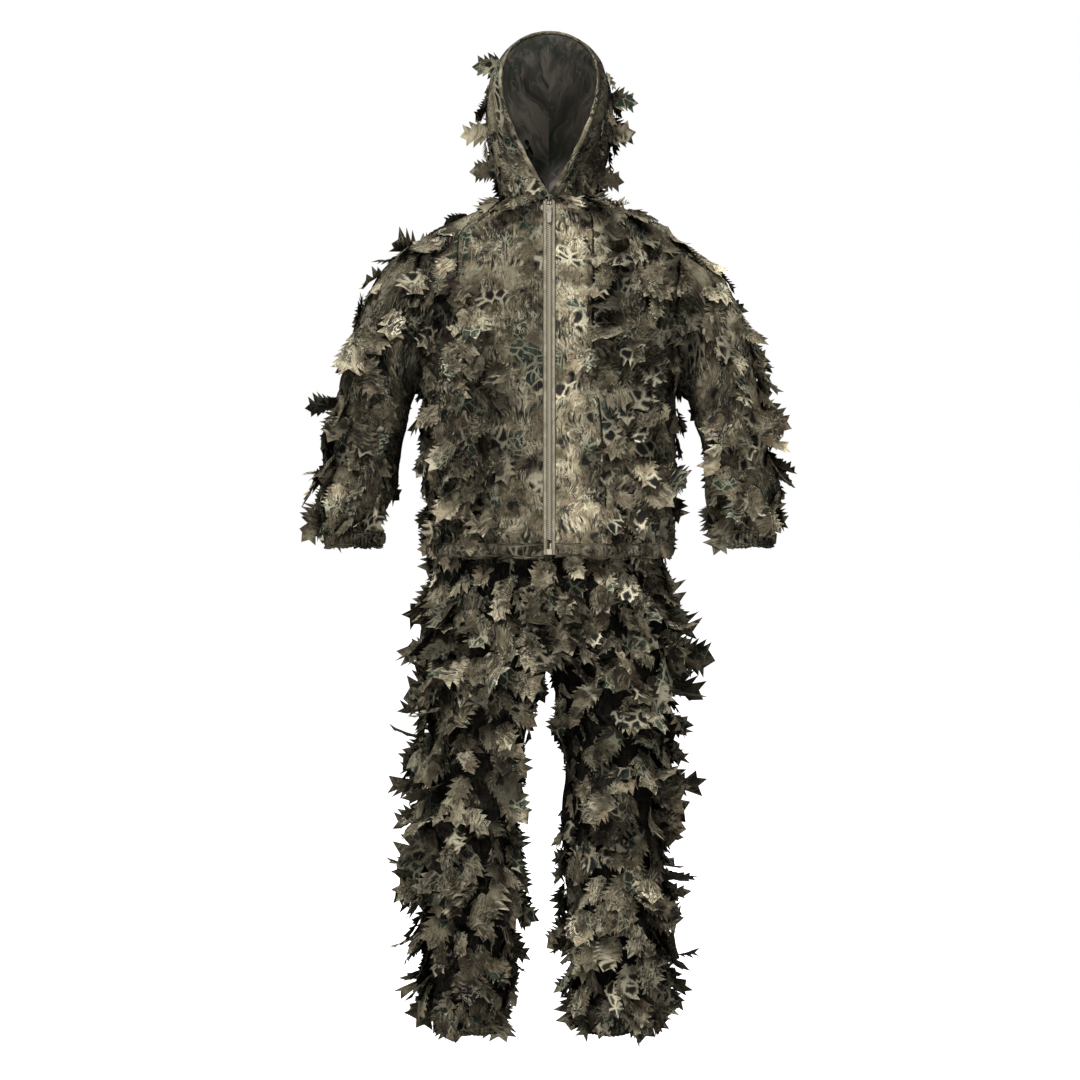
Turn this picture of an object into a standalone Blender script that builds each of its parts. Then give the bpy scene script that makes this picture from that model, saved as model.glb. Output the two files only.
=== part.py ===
"""Leaf-covered camouflage suit: a hooded jacket with a full front zip, and elastic-waisted trousers.

Units are metres and +Z is up. The suit faces -Y, so the wearer's left is +X.
The origin is the centre of the trousers' waist opening, where the wearer's waist holds the suit.
"""

import math

import bmesh
import bpy
from mathutils import Vector

# Fabric and clearances
FABRIC = 0.0024  # base fabric with its mesh backing
LEAF_LAYER = 0.014  # space taken by the sewn-on leaf fabric
LEAF_GAP = 0.0008
GAP = 0.0003
EDGE = 0.0008  # share of a panel left open along a seam

# Jacket
HEM_Z = -0.170
ARMPIT_Z = 0.105
NECK_FRONT_Z = 0.428
NECK_SIDE_Z = 0.434
NECK_BACK_Z = 0.440
SHOULDER_Z = 0.366
HEM_HALF_WIDTH = 0.213
CHEST_HALF_WIDTH = 0.222
SHOULDER_HALF_WIDTH = 0.232
ARMHOLE_HALF_DEPTH = 0.092
NECK_HALF_WIDTH = 0.080
NECK_HALF_DEPTH = 0.090
ZIP_BOTTOM_Y = -0.150
ZIP_TOP_Y = -0.100
BACK_Y = 0.142
ZIP_HALF_OPENING = 0.0095  # from the zip's middle to the cloth's folded edge
ARMPIT_ROW = 0.46  # share of a panel's rows that lie below the armpit
SHOULDER_ROW = 0.70

# Zip
TAPE_THICKNESS = 0.0008
TOOTH_DEPTH = 0.0026
TOOTH_PITCH = 0.0240
CHAIN_HALF_WIDTH = 0.0032
CHAIN_HALF_GAP = 0.0006
CHAIN_START = 0.012
SLIDER_LENGTH = 0.013
SLIDER_HALF_WIDTH = 0.0048
PULL_LENGTH = 0.026

# Sleeves, measured outward from the armhole
CUFF_TOP_Z = -0.146
CUFF_BOTTOM_Z = -0.176
CUFF_HALF_WIDTH = 0.048
CUFF_HALF_DEPTH = 0.046
CUFF_X = 0.345

# Hood
HOOD_LEAF_LAYER = 0.010
HOOD_SEAM = 0.0028
FACE_HALF_WIDTH = 0.084
HOOD_BACK_HALF_WIDTH = 0.018
BINDING = 0.010

# Trousers
WAIST_HALF_WIDTH = 0.178
HIP_HALF_WIDTH = 0.207
WAIST_HALF_DEPTH = 0.112
HIP_HALF_DEPTH = 0.130
WAISTBAND_Z = -0.036
CROTCH_Z = -0.357
ANKLE_TOP_Z = -0.998
ANKLE_BOTTOM_Z = -1.028
LEG_SHIFT = -0.014  # both legs hang a little toward the wearer's right
LEG_ROW = 0.40  # share of a panel's rows that lie above the crotch


def clear_scene():
    for obj in list(bpy.data.objects):
        bpy.data.objects.remove(obj, do_unlink=True)


def material(name, colour, roughness, metallic=0.0):
    made = bpy.data.materials.new(name)
    made.use_nodes = True
    shader = made.node_tree.nodes["Principled BSDF"]
    shader.inputs["Base Color"].default_value = (*colour, 1.0)
    shader.inputs["Roughness"].default_value = roughness
    shader.inputs["Metallic"].default_value = metallic
    return made


def lerp(a, b, t):
    return a + (b - a) * t


def smooth(a, b, t):
    t = min(max(t, 0.0), 1.0)
    return a + (b - a) * t * t * (3 - 2 * t)


def along(stations, t):
    """A Catmull-Rom curve through stations of equal spacing, for t from 0 to 1."""
    last = len(stations) - 1
    at = min(max(t, 0.0), 1.0) * last
    k = min(int(at), last - 1)
    f = at - k
    p0, p1, p2, p3 = (stations[min(max(k + d, 0), last)] for d in (-1, 0, 1, 2))
    return tuple(
        0.5 * (2 * b + (c - a) * f + (2 * a - 5 * b + 4 * c - d) * f * f + (3 * b - a - 3 * c + d) * f**3)
        for a, b, c, d in zip(p0, p1, p2, p3)
    )


def add_object(name, mesh_data, finish, parent, origin):
    """Make the object with its own origin, on the joint that it turns about."""
    mesh = bpy.data.meshes.new(name)
    mesh_data.normal_update()
    bmesh.ops.recalc_face_normals(mesh_data, faces=mesh_data.faces)
    bmesh.ops.translate(mesh_data, verts=mesh_data.verts, vec=-origin)
    mesh_data.to_mesh(mesh)
    mesh_data.free()
    mesh.materials.append(finish)
    mesh.shade_smooth()
    mesh.set_sharp_from_angle(angle=math.radians(50))
    obj = bpy.data.objects.new(name, mesh)
    bpy.context.scene.collection.objects.link(obj)
    obj.parent = parent
    return obj


def pivot(name, location, parent=None):
    empty = bpy.data.objects.new(name, None)
    bpy.context.scene.collection.objects.link(empty)
    empty.empty_display_size = 0.03
    empty.parent = parent
    base = origin_of(parent)
    empty.location = Vector(location) - base
    empty["origin"] = tuple(location)
    return empty


def origin_of(empty):
    return Vector(empty["origin"]) if empty else Vector((0, 0, 0))


def normal_at(surface, u, v, outward):
    step = 0.004
    across = surface(u + step, v) - surface(u - step, v)
    up = surface(u, v + step) - surface(u, v - step)
    normal = across.cross(up)
    return normal.normalized() * outward


def shell(name, surface, us, vs, inner, outer, finish, parent, outward=1, closed=False, limit=None):
    """One solid between two offsets of a surface. With closed set, its u direction is a full ring."""
    mesh = bmesh.new()
    layers = []
    for offset in (outer, inner):
        grid = []
        for v in vs:
            row = []
            for u in us[:-1] if closed else us:
                reach = offset(u, v) if callable(offset) else offset
                point = surface(u, v) + normal_at(surface, u, v, outward) * reach
                row.append(mesh.verts.new(limit(point, u, v) if limit else point))
            grid.append(row)
        layers.append(grid)
    rows, columns = len(vs), len(layers[0][0])
    spans = columns if closed else columns - 1
    for grid in layers:
        for j in range(rows - 1):
            for i in range(spans):
                k = (i + 1) % columns
                mesh.faces.new((grid[j][i], grid[j][k], grid[j + 1][k], grid[j + 1][i]))
    top, bottom = layers
    for j in (0, rows - 1):
        for i in range(spans):
            k = (i + 1) % columns
            mesh.faces.new((top[j][i], top[j][k], bottom[j][k], bottom[j][i]))
    if not closed:
        for i in (0, columns - 1):
            for j in range(rows - 1):
                mesh.faces.new((top[j][i], top[j + 1][i], bottom[j + 1][i], bottom[j][i]))
    return add_object(name, mesh, finish, parent, origin_of(parent))


def sweep(name, path, section, finish, parent, closed=False):
    """A closed section carried along a path of (point, across, out) frames, as a ring or with end caps."""
    mesh = bmesh.new()
    rings = []
    for point, across, out in path:
        rings.append([mesh.verts.new(point + across * a + out * b) for a, b in section(len(rings))])
    count = len(rings[0])
    spans = len(rings) if closed else len(rings) - 1
    for j in range(spans):
        here, there = rings[j], rings[(j + 1) % len(rings)]
        for i in range(count):
            k = (i + 1) % count
            mesh.faces.new((here[i], here[k], there[k], there[i]))
    if not closed:
        for ring in (rings[0], rings[-1]):
            bmesh.ops.triangle_fill(mesh, edges=[mesh.edges.get((ring[i - 1], ring[i])) for i in range(count)],
                                    use_beauty=True)
    return add_object(name, mesh, finish, parent, origin_of(parent))


def spread(start, stop, count):
    return [lerp(start, stop, k / (count - 1)) for k in range(count)]


def own_side(side):
    """Keeps a panel's points on its own side of the suit's middle plane."""
    def limit(point, _u, _v):
        point.x = side * max(side * point.x, 0.0002)
        return point
    return limit


# Jacket body ---------------------------------------------------------------------------------

def zip_y(z):
    share = (z - HEM_Z) / (NECK_FRONT_Z - HEM_Z)
    return lerp(ZIP_BOTTOM_Y, ZIP_TOP_Y, share)


def back_y(z):
    rise = max(0.0, (z - 0.16) / (NECK_BACK_Z - 0.16))
    return BACK_Y - (BACK_Y - NECK_HALF_DEPTH + 0.004) * rise**1.8


def side_edge(v, facing):
    """The side seam below the armpit, and half of the armhole above it."""
    if v <= ARMPIT_ROW:
        share = v / ARMPIT_ROW
        return Vector((smooth(HEM_HALF_WIDTH, CHEST_HALF_WIDTH, share), 0.0, lerp(HEM_Z, ARMPIT_Z, share)))
    turn = (v - ARMPIT_ROW) / (1 - ARMPIT_ROW) * math.pi
    share = (1 - math.cos(turn)) / 2
    return Vector((
        lerp(CHEST_HALF_WIDTH, SHOULDER_HALF_WIDTH, share),
        facing * ARMHOLE_HALF_DEPTH * math.sin(turn),
        lerp(ARMPIT_Z, SHOULDER_Z, share),
    ))


def top_edge(u, facing):
    """The neckline out to the side of the neck, then the shoulder seam."""
    neck = 0.42
    if u <= neck:
        turn = u / neck * math.pi / 2
        middle_z = NECK_FRONT_Z if facing < 0 else NECK_BACK_Z
        depth = -ZIP_TOP_Y if facing < 0 else NECK_HALF_DEPTH
        return Vector((
            NECK_HALF_WIDTH * math.sin(turn),
            facing * max(depth * math.cos(turn), GAP),
            lerp(middle_z, NECK_SIDE_Z, math.sin(turn)),
        ))
    share = (u - neck) / (1 - neck)
    return Vector((
        lerp(NECK_HALF_WIDTH, SHOULDER_HALF_WIDTH, share), facing * GAP,
        lerp(NECK_SIDE_Z, SHOULDER_Z, share**1.3),
    ))


def torso(side, facing):
    """Quarter of the jacket body: u from its middle to its side, v from the hem to the shoulder."""
    def surface(u, v):
        mirrored = -1 if u < 0 else 1
        u = abs(u)
        middle_z = lerp(HEM_Z, NECK_FRONT_Z if facing < 0 else NECK_BACK_Z, v)
        middle_y = zip_y(middle_z) if facing < 0 else back_y(middle_z)
        edge = side_edge(min(max(v, 0.0), 1.0), facing)
        turn = u * math.pi / 2
        x = edge.x * math.sin(turn) ** 0.85 if u > 0 else 0.0
        y = edge.y + (middle_y - edge.y) * max(math.cos(turn), 0.0) ** 0.75
        row = Vector((x, y, lerp(middle_z, edge.z, min(u, 1.0) ** 1.5)))
        reach = (v - SHOULDER_ROW) / (1 - SHOULDER_ROW)
        if reach > 0:
            share = 1 - math.sqrt(max(0.0, 1 - min(reach, 1.0) ** 2))
            row = row.lerp(top_edge(u, facing), share)
        row.x *= side * mirrored
        return row
    return surface


def opening_share(side, facing, v):
    """The u at which a front panel's cloth reaches the edge of the zip's opening."""
    low, high = 0.0, 0.3
    surface = torso(1, facing)
    for _ in range(24):
        middle = (low + high) / 2
        if surface(middle, v).x < ZIP_HALF_OPENING:
            low = middle
        else:
            high = middle
    return high


def front_surface(side):
    """The front panel with u running from the zip opening's edge to the side seam."""
    inner = torso(side, -1)

    def surface(u, v):
        start = opening_share(side, -1, min(max(v, 0.0), 1.0))
        return inner(start + (1 - start) * u, v)
    return surface


def armhole_plane(z):
    """The x of the armhole's leaning plane, on the wearer's left."""
    lean = (SHOULDER_HALF_WIDTH - CHEST_HALF_WIDTH) / (SHOULDER_Z - ARMPIT_Z)
    return CHEST_HALF_WIDTH + lean * (z - ARMPIT_Z)


def inside_armholes(point, _u, _v):
    """Keeps the leaf layer off the sleeves."""
    if point.z > 0.055:
        edge = armhole_plane(point.z) - GAP
        point.x = min(max(point.x, -edge), edge)
    return point


def make_jacket(fabric, leaves, elastic, parent):
    rows = spread(0.004, 0.90, 10) + [0.955, 0.985, 1.0]
    columns = spread(0.0, 1 - EDGE, 8)
    for side, word in ((1, "left"), (-1, "right")):
        front = front_surface(side)
        shell(f"jacket_front_{word}", front, columns, rows, -FABRIC, 0.0, fabric, parent, outward=side)
        shell(f"jacket_leaf_layer_front_{word}", front, columns[2:7], rows[:-1], LEAF_GAP, LEAF_LAYER,
              leaves, parent, outward=side, limit=inside_armholes)
    back = torso(1, 1)
    columns = spread(-1 + EDGE, 1 - EDGE, 15)
    shell("jacket_back", back, columns, rows, -FABRIC, 0.0, fabric, parent, outward=-1)
    shell("jacket_leaf_layer_back", back, columns[1:-1], rows[:-1], LEAF_GAP, LEAF_LAYER,
          leaves, parent, outward=-1, limit=inside_armholes)
    ring_frames = hem_frames()
    sweep("jacket_hem_casing", ring_frames, lambda _: casing_section(0.024), fabric, parent)
    sweep("jacket_hem_elastic", ring_frames[1:-1], lambda _: elastic_section(0.024), elastic, parent)


def hem_frames():
    """Frames round the jacket's hem, from one side of the zip to the other."""
    frames = []
    start = math.asin((ZIP_HALF_OPENING / HEM_HALF_WIDTH) ** (1 / 0.85))
    count = 31
    for k in range(count):
        turn = lerp(start, 2 * math.pi - start, k / (count - 1))
        depth = -ZIP_BOTTOM_Y if math.cos(turn) > 0 else BACK_Y
        x = HEM_HALF_WIDTH * math.copysign(abs(math.sin(turn)) ** 0.85, math.sin(turn))
        y = -depth * math.copysign(abs(math.cos(turn)) ** 0.75, math.cos(turn))
        out = Vector((x / HEM_HALF_WIDTH**2, y / depth**2, 0)).normalized()
        frames.append((Vector((x, y, HEM_Z - 0.001)) - out * 0.001, out, Vector((0, 0, -1))))
    return frames


def casing_section(height):
    """A strip folded up round the elastic, open along its upper edge, as (outward, downward) points."""
    half, ply = 0.0032, 0.0010
    return [
        (half, 0.0), (half, height), (-half, height), (-half, 0.0015),
        (-half + ply, 0.0015), (-half + ply, height - ply), (half - ply, height - ply), (half - ply, 0.0),
    ]


def elastic_section(height):
    half, ply = 0.0032, 0.0010
    inner = half - ply - GAP
    return [(inner, 0.003), (inner, height - ply - GAP), (-inner, height - ply - GAP), (-inner, 0.003)]


def oval_frames(centre, half_width, half_depth, count, tilt=0.0):
    """Frames round an oval opening, whose plane can tilt about Y."""
    frames = []
    lean = Vector((math.cos(tilt), 0, math.sin(tilt)))
    down = Vector((math.sin(tilt), 0, -math.cos(tilt)))
    for k in range(count):
        turn = 2 * math.pi * k / count
        flat = Vector((half_depth * math.cos(turn), half_width * math.sin(turn))).normalized()
        out = lean * flat[0] + Vector((0, flat[1], 0))
        point = Vector(centre) + lean * half_width * math.cos(turn) + Vector((0, half_depth * math.sin(turn), 0))
        frames.append((point, out, down))
    return frames


# Zip -----------------------------------------------------------------------------------------

def zip_point(distance):
    """A point on the zip's middle line, measured down from the neck."""
    return Vector((0, ZIP_TOP_Y, NECK_FRONT_Z)) + zip_down() * distance


def zip_down():
    return Vector((0, ZIP_BOTTOM_Y - ZIP_TOP_Y, HEM_Z - NECK_FRONT_Z)).normalized()


def zip_out():
    """Away from the body, square to the zip."""
    down = zip_down()
    return Vector((0, down.z, -down.y))


def zip_bar(name, sections, finish, parent):
    """A solid along the zip: each section is (distance, x0, x1, out0, out1)."""
    mesh = bmesh.new()
    rings = []
    for distance, x0, x1, low, high in sections:
        middle = zip_point(distance)
        rings.append([
            mesh.verts.new(middle + Vector((x, 0, 0)) + zip_out() * b)
            for x, b in ((x0, low), (x1, low), (x1, high), (x0, high))
        ])
    for here, there in zip(rings, rings[1:]):
        for i in range(4):
            k = (i + 1) % 4
            mesh.faces.new((here[i], here[k], there[k], there[i]))
    mesh.faces.new(rings[0])
    mesh.faces.new(rings[-1])
    return add_object(name, mesh, finish, parent, origin_of(parent))


def chain_sections(side, start, stop):
    """The teeth as one comb: a cord with a block standing toward the middle at each pitch."""
    sections = []
    at = start
    outer, valley, peak = CHAIN_HALF_WIDTH, CHAIN_HALF_WIDTH - 0.0012, CHAIN_HALF_GAP
    if side < 0:
        sections.append((at, outer, valley))
        at += TOOTH_PITCH / 2
    while at + TOOTH_PITCH < stop:
        for share, inner in ((0.0, valley), (0.06, peak), (0.5, peak), (0.56, valley)):
            sections.append((at + share * TOOTH_PITCH, outer, inner))
        at += TOOTH_PITCH
    sections.append((stop, outer, valley))
    low = TAPE_THICKNESS / 2 + GAP
    return [(d, side * a, side * b, low, low + TOOTH_DEPTH) for d, a, b in sections]


def make_zip(tape, teeth, parent):
    length = (zip_point(0) - Vector((0, ZIP_BOTTOM_Y, HEM_Z))).length
    half_tape = TAPE_THICKNESS / 2
    low = half_tape + GAP
    high = low + TOOTH_DEPTH
    for side, word in ((1, "left"), (-1, "right")):
        zip_bar(f"zip_tape_{word}",
                [(d, side * CHAIN_HALF_GAP, side * (ZIP_HALF_OPENING - GAP), -half_tape, half_tape)
                 for d in (0.004, length * 0.5, length + 0.020)], tape, parent)
        zip_bar(f"zip_teeth_{word}", chain_sections(side, CHAIN_START, length - 0.002), teeth, parent)
        zip_bar(f"zip_top_stop_{word}",
                [(d, side * (CHAIN_HALF_GAP + GAP), side * CHAIN_HALF_WIDTH, low, high + 0.0008)
                 for d in (CHAIN_START - 0.0055, CHAIN_START - 0.0010)], teeth, parent)
    zip_bar("zip_insertion_pin",
            [(d, CHAIN_HALF_GAP + GAP, CHAIN_HALF_WIDTH, low, high)
             for d in (length - 0.001, length + 0.0085)], teeth, parent)
    zip_bar("zip_retainer_box",
            [(d, -CHAIN_HALF_WIDTH - 0.001, CHAIN_HALF_WIDTH + 0.001, low, high + 0.0012)
             for d in (length + 0.009, length + 0.018)], teeth, parent)
    return length


def make_slider(metal, slider_pivot, tab_pivot):
    """The slider: a front and a rear plate joined by the web that runs between the two chains."""
    start = CHAIN_START + 0.001
    stop = start + SLIDER_LENGTH
    rear = -TAPE_THICKNESS / 2 - GAP
    front = TAPE_THICKNESS / 2 + GAP + TOOTH_DEPTH + GAP
    half = SLIDER_HALF_WIDTH
    web = CHAIN_HALF_GAP - GAP
    plate = 0.0012
    mesh = bmesh.new()
    outline = [(-half, rear - plate), (half, rear - plate), (half, rear), (web, rear), (web, front), (half, front),
               (half, front + plate), (-half, front + plate), (-half, front), (-web, front), (-web, rear),
               (-half, rear)]
    ends = []
    for distance in (start, stop):
        middle = zip_point(distance)
        ends.append([mesh.verts.new(middle + Vector((x, 0, 0)) + zip_out() * b) for x, b in outline])
    for i in range(len(outline)):
        k = (i + 1) % len(outline)
        mesh.faces.new((ends[0][i], ends[0][k], ends[1][k], ends[1][i]))
    for ring in ends:
        for corners in ((0, 1, 2, 3, 10, 11), (3, 4, 9, 10), (4, 5, 6, 7, 8, 9)):
            mesh.faces.new([ring[i] for i in corners])
    body = add_object("zip_slider_body", mesh, metal, slider_pivot, origin_of(slider_pivot))
    for side in (1, -1):
        lug = lug_cutter(side, front + plate)
        lug.parent = slider_pivot
        union = body.modifiers.new("lug", "BOOLEAN")
        union.operation = "UNION"
        union.object = lug
    hinge = origin_of(tab_pivot)
    outline = [(-0.0011, -0.0013), (0.0011, -0.0013), (0.0013, 0.0), (0.0008, 0.0016)]
    mesh = bmesh.new()
    down, out = zip_down(), zip_out()
    widths = (0.0018, 0.0018, 0.0036, 0.0036, 0.0024)
    lengths = (-0.0012, 0.0024, 0.0060, PULL_LENGTH - 0.004, PULL_LENGTH)
    rings = []
    for width, distance in zip(widths, lengths):
        thick = 0.0010 if distance < 0.003 else 0.0007
        rings.append([mesh.verts.new(hinge + down * distance + Vector((x, 0, 0)) + out * b)
                      for x, b in ((-width, -thick), (width, -thick), (width, thick), (-width, thick))])
    for here, there in zip(rings, rings[1:]):
        for i in range(4):
            k = (i + 1) % 4
            mesh.faces.new((here[i], here[k], there[k], there[i]))
    mesh.faces.new(rings[0])
    mesh.faces.new(rings[-1])
    add_object("zip_pull_tab", mesh, metal, tab_pivot, hinge)


def lug_cutter(side, face):
    """One of the two ears on the slider's face that the pull tab hangs between."""
    mesh = bmesh.new()
    x0, x1 = 0.0022, 0.0036
    near, far = CHAIN_START + 0.003, CHAIN_START + 0.008
    corners = []
    for distance in (near, far):
        for x in (x0, x1):
            for b in (face - 0.0005, face + 0.0042):
                corners.append(mesh.verts.new(zip_point(distance) + Vector((side * x, 0, 0)) + zip_out() * b
                                              - zip_point(0)))
    bmesh.ops.convex_hull(mesh, input=corners)
    bmesh.ops.recalc_face_normals(mesh, faces=mesh.faces)
    made = bpy.data.meshes.new("slider_lug")
    mesh.to_mesh(made)
    mesh.free()
    obj = bpy.data.objects.new("slider_lug", made)
    bpy.context.scene.collection.objects.link(obj)
    obj.hide_render = True
    obj.display_type = "WIRE"
    return obj


# Sleeves -------------------------------------------------------------------------------------

def sleeve(side):
    """A sleeve as rings between its outer and inner edges: u goes round it, v from armhole to cuff."""
    shoulder = SHOULDER_HALF_WIDTH + GAP
    chest = CHEST_HALF_WIDTH + GAP
    outer_edge = [
        (shoulder, SHOULDER_Z), (shoulder + 0.058, 0.325), (shoulder + 0.108, 0.235), (shoulder + 0.137, 0.125),
        (shoulder + 0.156, 0.020), (shoulder + 0.170, -0.070), (CUFF_X + CUFF_HALF_WIDTH, CUFF_TOP_Z),
    ]
    inner_edge = [
        (chest, ARMPIT_Z), (chest + 0.012, 0.096), (chest + 0.022, 0.078), (chest + 0.033, 0.040),
        (chest + 0.045, -0.015), (chest + 0.058, -0.080), (CUFF_X - CUFF_HALF_WIDTH, CUFF_TOP_Z),
    ]
    depths = [(ARMHOLE_HALF_DEPTH,), (0.094,), (0.092,), (0.088,), (0.083,), (0.078,), (CUFF_HALF_DEPTH,)]

    def surface(u, v):
        top, bottom = along(outer_edge, v), along(inner_edge, v)
        depth = along(depths, v)[0]
        turn = 2 * math.pi * u
        share = (1 + math.cos(turn)) / 2
        return Vector((
            side * lerp(bottom[0], top[0], share),
            depth * math.sin(turn) * -1,
            lerp(bottom[1], top[1], share),
        ))
    return surface


def outside_armhole(side):
    """Keeps a sleeve's points on its own side of the armhole's plane."""
    def limit(point, _u, _v):
        point.x = side * max(side * point.x, armhole_plane(point.z) + GAP)
        return point
    return limit


def sleeve_leaf_reach(u, _v):
    """The leaf layer is thinner where the sleeve lies against the body."""
    return LEAF_LAYER * lerp(0.4, 1.0, (1 + math.cos(2 * math.pi * u)) / 2)


def make_sleeve(side, word, fabric, leaves, elastic, parent):
    surface = sleeve(side)
    columns, rows = spread(0, 1, 17), spread(0.0, 1.0, 12)
    shell(f"sleeve_{word}", surface, columns, rows, -FABRIC, 0.0, fabric, parent,
          outward=side, closed=True, limit=outside_armhole(side))
    shell(f"sleeve_leaf_layer_{word}", surface, columns, rows[1:-1], LEAF_GAP, sleeve_leaf_reach,
          leaves, parent, outward=side, closed=True, limit=outside_armhole(side))
    centre = (side * CUFF_X, 0, CUFF_TOP_Z - GAP)
    frames = oval_frames(centre, CUFF_HALF_WIDTH - 0.001, CUFF_HALF_DEPTH - 0.001, 20)
    height = CUFF_TOP_Z - CUFF_BOTTOM_Z
    sweep(f"cuff_casing_{word}", frames, lambda _: casing_section(height), fabric, parent, closed=True)
    sweep(f"cuff_elastic_{word}", frames, lambda _: elastic_section(height), elastic, parent, closed=True)


# Hood ----------------------------------------------------------------------------------------

CROWN = [(-0.118, 0.724), (-0.040, 0.736), (0.048, 0.712), (0.104, 0.632), (0.108, 0.530), (0.088, 0.458)]


def hood(side):
    """Half of the hood: v from the face opening to the nape, u from the neckline to the centre seam."""
    def surface(u, v):
        turn = math.pi * min(max(v, 0.0), 1.0) * 0.955
        front = -ZIP_TOP_Y + 0.002
        depth = front if math.cos(turn) > 0 else NECK_HALF_DEPTH
        low = Vector((
            NECK_HALF_WIDTH * math.sin(turn), -depth * math.cos(turn),
            lerp(NECK_FRONT_Z, NECK_BACK_Z, (1 - math.cos(turn)) / 2) + HOOD_SEAM,
        ))
        high = along(CROWN, v)
        width = lerp(FACE_HALF_WIDTH, HOOD_BACK_HALF_WIDTH, max(v, 0.0) ** 0.9)
        share = math.sin(math.pi * u / 2)
        return Vector((
            side * (low.x * math.cos(math.pi * u / 2) + width * math.sin(math.pi * u) + 0.0003),
            lerp(low.y, high[0], share), lerp(low.z, high[1], share),
        ))
    return surface


def make_hood(fabric, leaves, parent):
    for side, word in ((1, "left"), (-1, "right")):
        surface = hood(side)
        columns, rows = spread(0.0, 1.0, 10), spread(0.0, 0.99, 10)
        shell(f"hood_{word}", surface, columns, rows, -FABRIC, 0.0, fabric, parent,
              outward=-side, limit=own_side(side))
        shell(f"hood_leaf_layer_{word}", surface, columns[2:], rows[:-2], LEAF_GAP, HOOD_LEAF_LAYER,
              leaves, parent, outward=-side, limit=own_side(side))
    make_binding(fabric, parent)


def make_binding(fabric, parent):
    """The folded edge round the face opening, one continuous strip from chin to chin."""
    left = hood(1)
    frames = []
    count = 14
    sides = [(1, lerp(0.05, 1.0, k / (count - 1))) for k in range(count)]
    sides += [(-1, u) for _, u in reversed(sides[:-1])]
    for side, u in sides:
        point = left(u, 0.0)
        step = left(u, 0.004) - point
        tangent = left(u + 0.01, 0.0) - left(u - 0.01, 0.0)
        forward = -step.normalized()
        out = tangent.cross(step).normalized()
        out = out if out.x > 0 else -out
        if u > 0.999:
            point.x, forward.x = 0.0, 0.0
            out = Vector((0, 0, 1))
            forward = Vector((0, -1, 0))
        else:
            point.x, forward.x, out.x = side * point.x, side * forward.x, side * out.x
        frames.append((point, forward, out))
    section = [(0.0014, -0.0048), (0.0014, 0.0022), (BINDING, 0.0022), (BINDING, -0.0048)]
    sweep("hood_face_binding", frames, lambda _: section, fabric, parent)


# Trousers ------------------------------------------------------------------------------------

def leg_x(side, z):
    """Inner and outer x of one leg."""
    below = min(max((CROTCH_Z - z) / (CROTCH_Z - ANKLE_TOP_Z), 0.0), 1.0)
    shift = LEG_SHIFT * min(below * 2.5, 1.0)
    inner = 0.034 * min(below / 0.30, 1.0) ** 0.8 + 0.022 * below
    outer = lerp(HIP_HALF_WIDTH, 0.204, below)
    gather = max(0.0, (below - 0.93) / 0.07) ** 1.6
    inner += 0.018 * gather
    outer -= 0.026 * gather
    return side * inner + shift, side * outer + shift


def trousers(side, facing):
    """Quarter of the trousers: u from the middle or inner leg to the side seam, v from waist to ankle."""
    def surface(u, v):
        facing_here, across = facing, u
        if v <= LEG_ROW:
            share = max(v, 0.0) / LEG_ROW
            z = CROTCH_Z * share
            edge = smooth(WAIST_HALF_WIDTH, HIP_HALF_WIDTH, min(share * 1.5, 1.0))
            depth = smooth(WAIST_HALF_DEPTH, HIP_HALF_DEPTH, min(share * 1.4, 1.0))
            split = 1 - math.sqrt(1 - min(share, 1.0) ** 8)
            centre, half = edge / 2 * split, edge * (1 - split / 2)
            centre, half = side * centre, side * half
        else:
            below = (v - LEG_ROW) / (1 - LEG_ROW)
            z = lerp(CROTCH_Z, ANKLE_TOP_Z, below)
            inner, outer = leg_x(side, z)
            centre, half = (inner + outer) / 2, (outer - inner) / 2
            gather = max(0.0, (below - 0.93) / 0.07) ** 1.6
            depth = lerp(HIP_HALF_DEPTH, 0.092, min(below, 1.0) ** 0.6) - 0.030 * gather
        start = math.acos(min(max(abs(centre) / abs(half), -1.0), 1.0)) if v <= LEG_ROW else 0.0
        turn = lerp(start, math.pi, across)
        return Vector((centre - half * math.cos(turn), facing_here * depth * math.sin(turn), z))
    return surface


def whole_front(facing):
    """Both halves of the seat as one surface, u from -1 at the right side to 1 at the left."""
    left, right = trousers(1, facing), trousers(-1, facing)

    def surface(u, v):
        return left(u, v) if u >= 0 else right(-u, v)
    return surface


def leg_round(side):
    """A leg as a full tube below the crotch: u from the inner leg round the front, and v from crotch to ankle."""
    front, back = trousers(side, -1), trousers(side, 1)

    def surface(u, v):
        u = u % 1.0
        row = LEG_ROW + (1 - LEG_ROW) * v
        return front(2 * u, row) if u < 0.5 else back(2 - 2 * u, row)
    return surface


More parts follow.
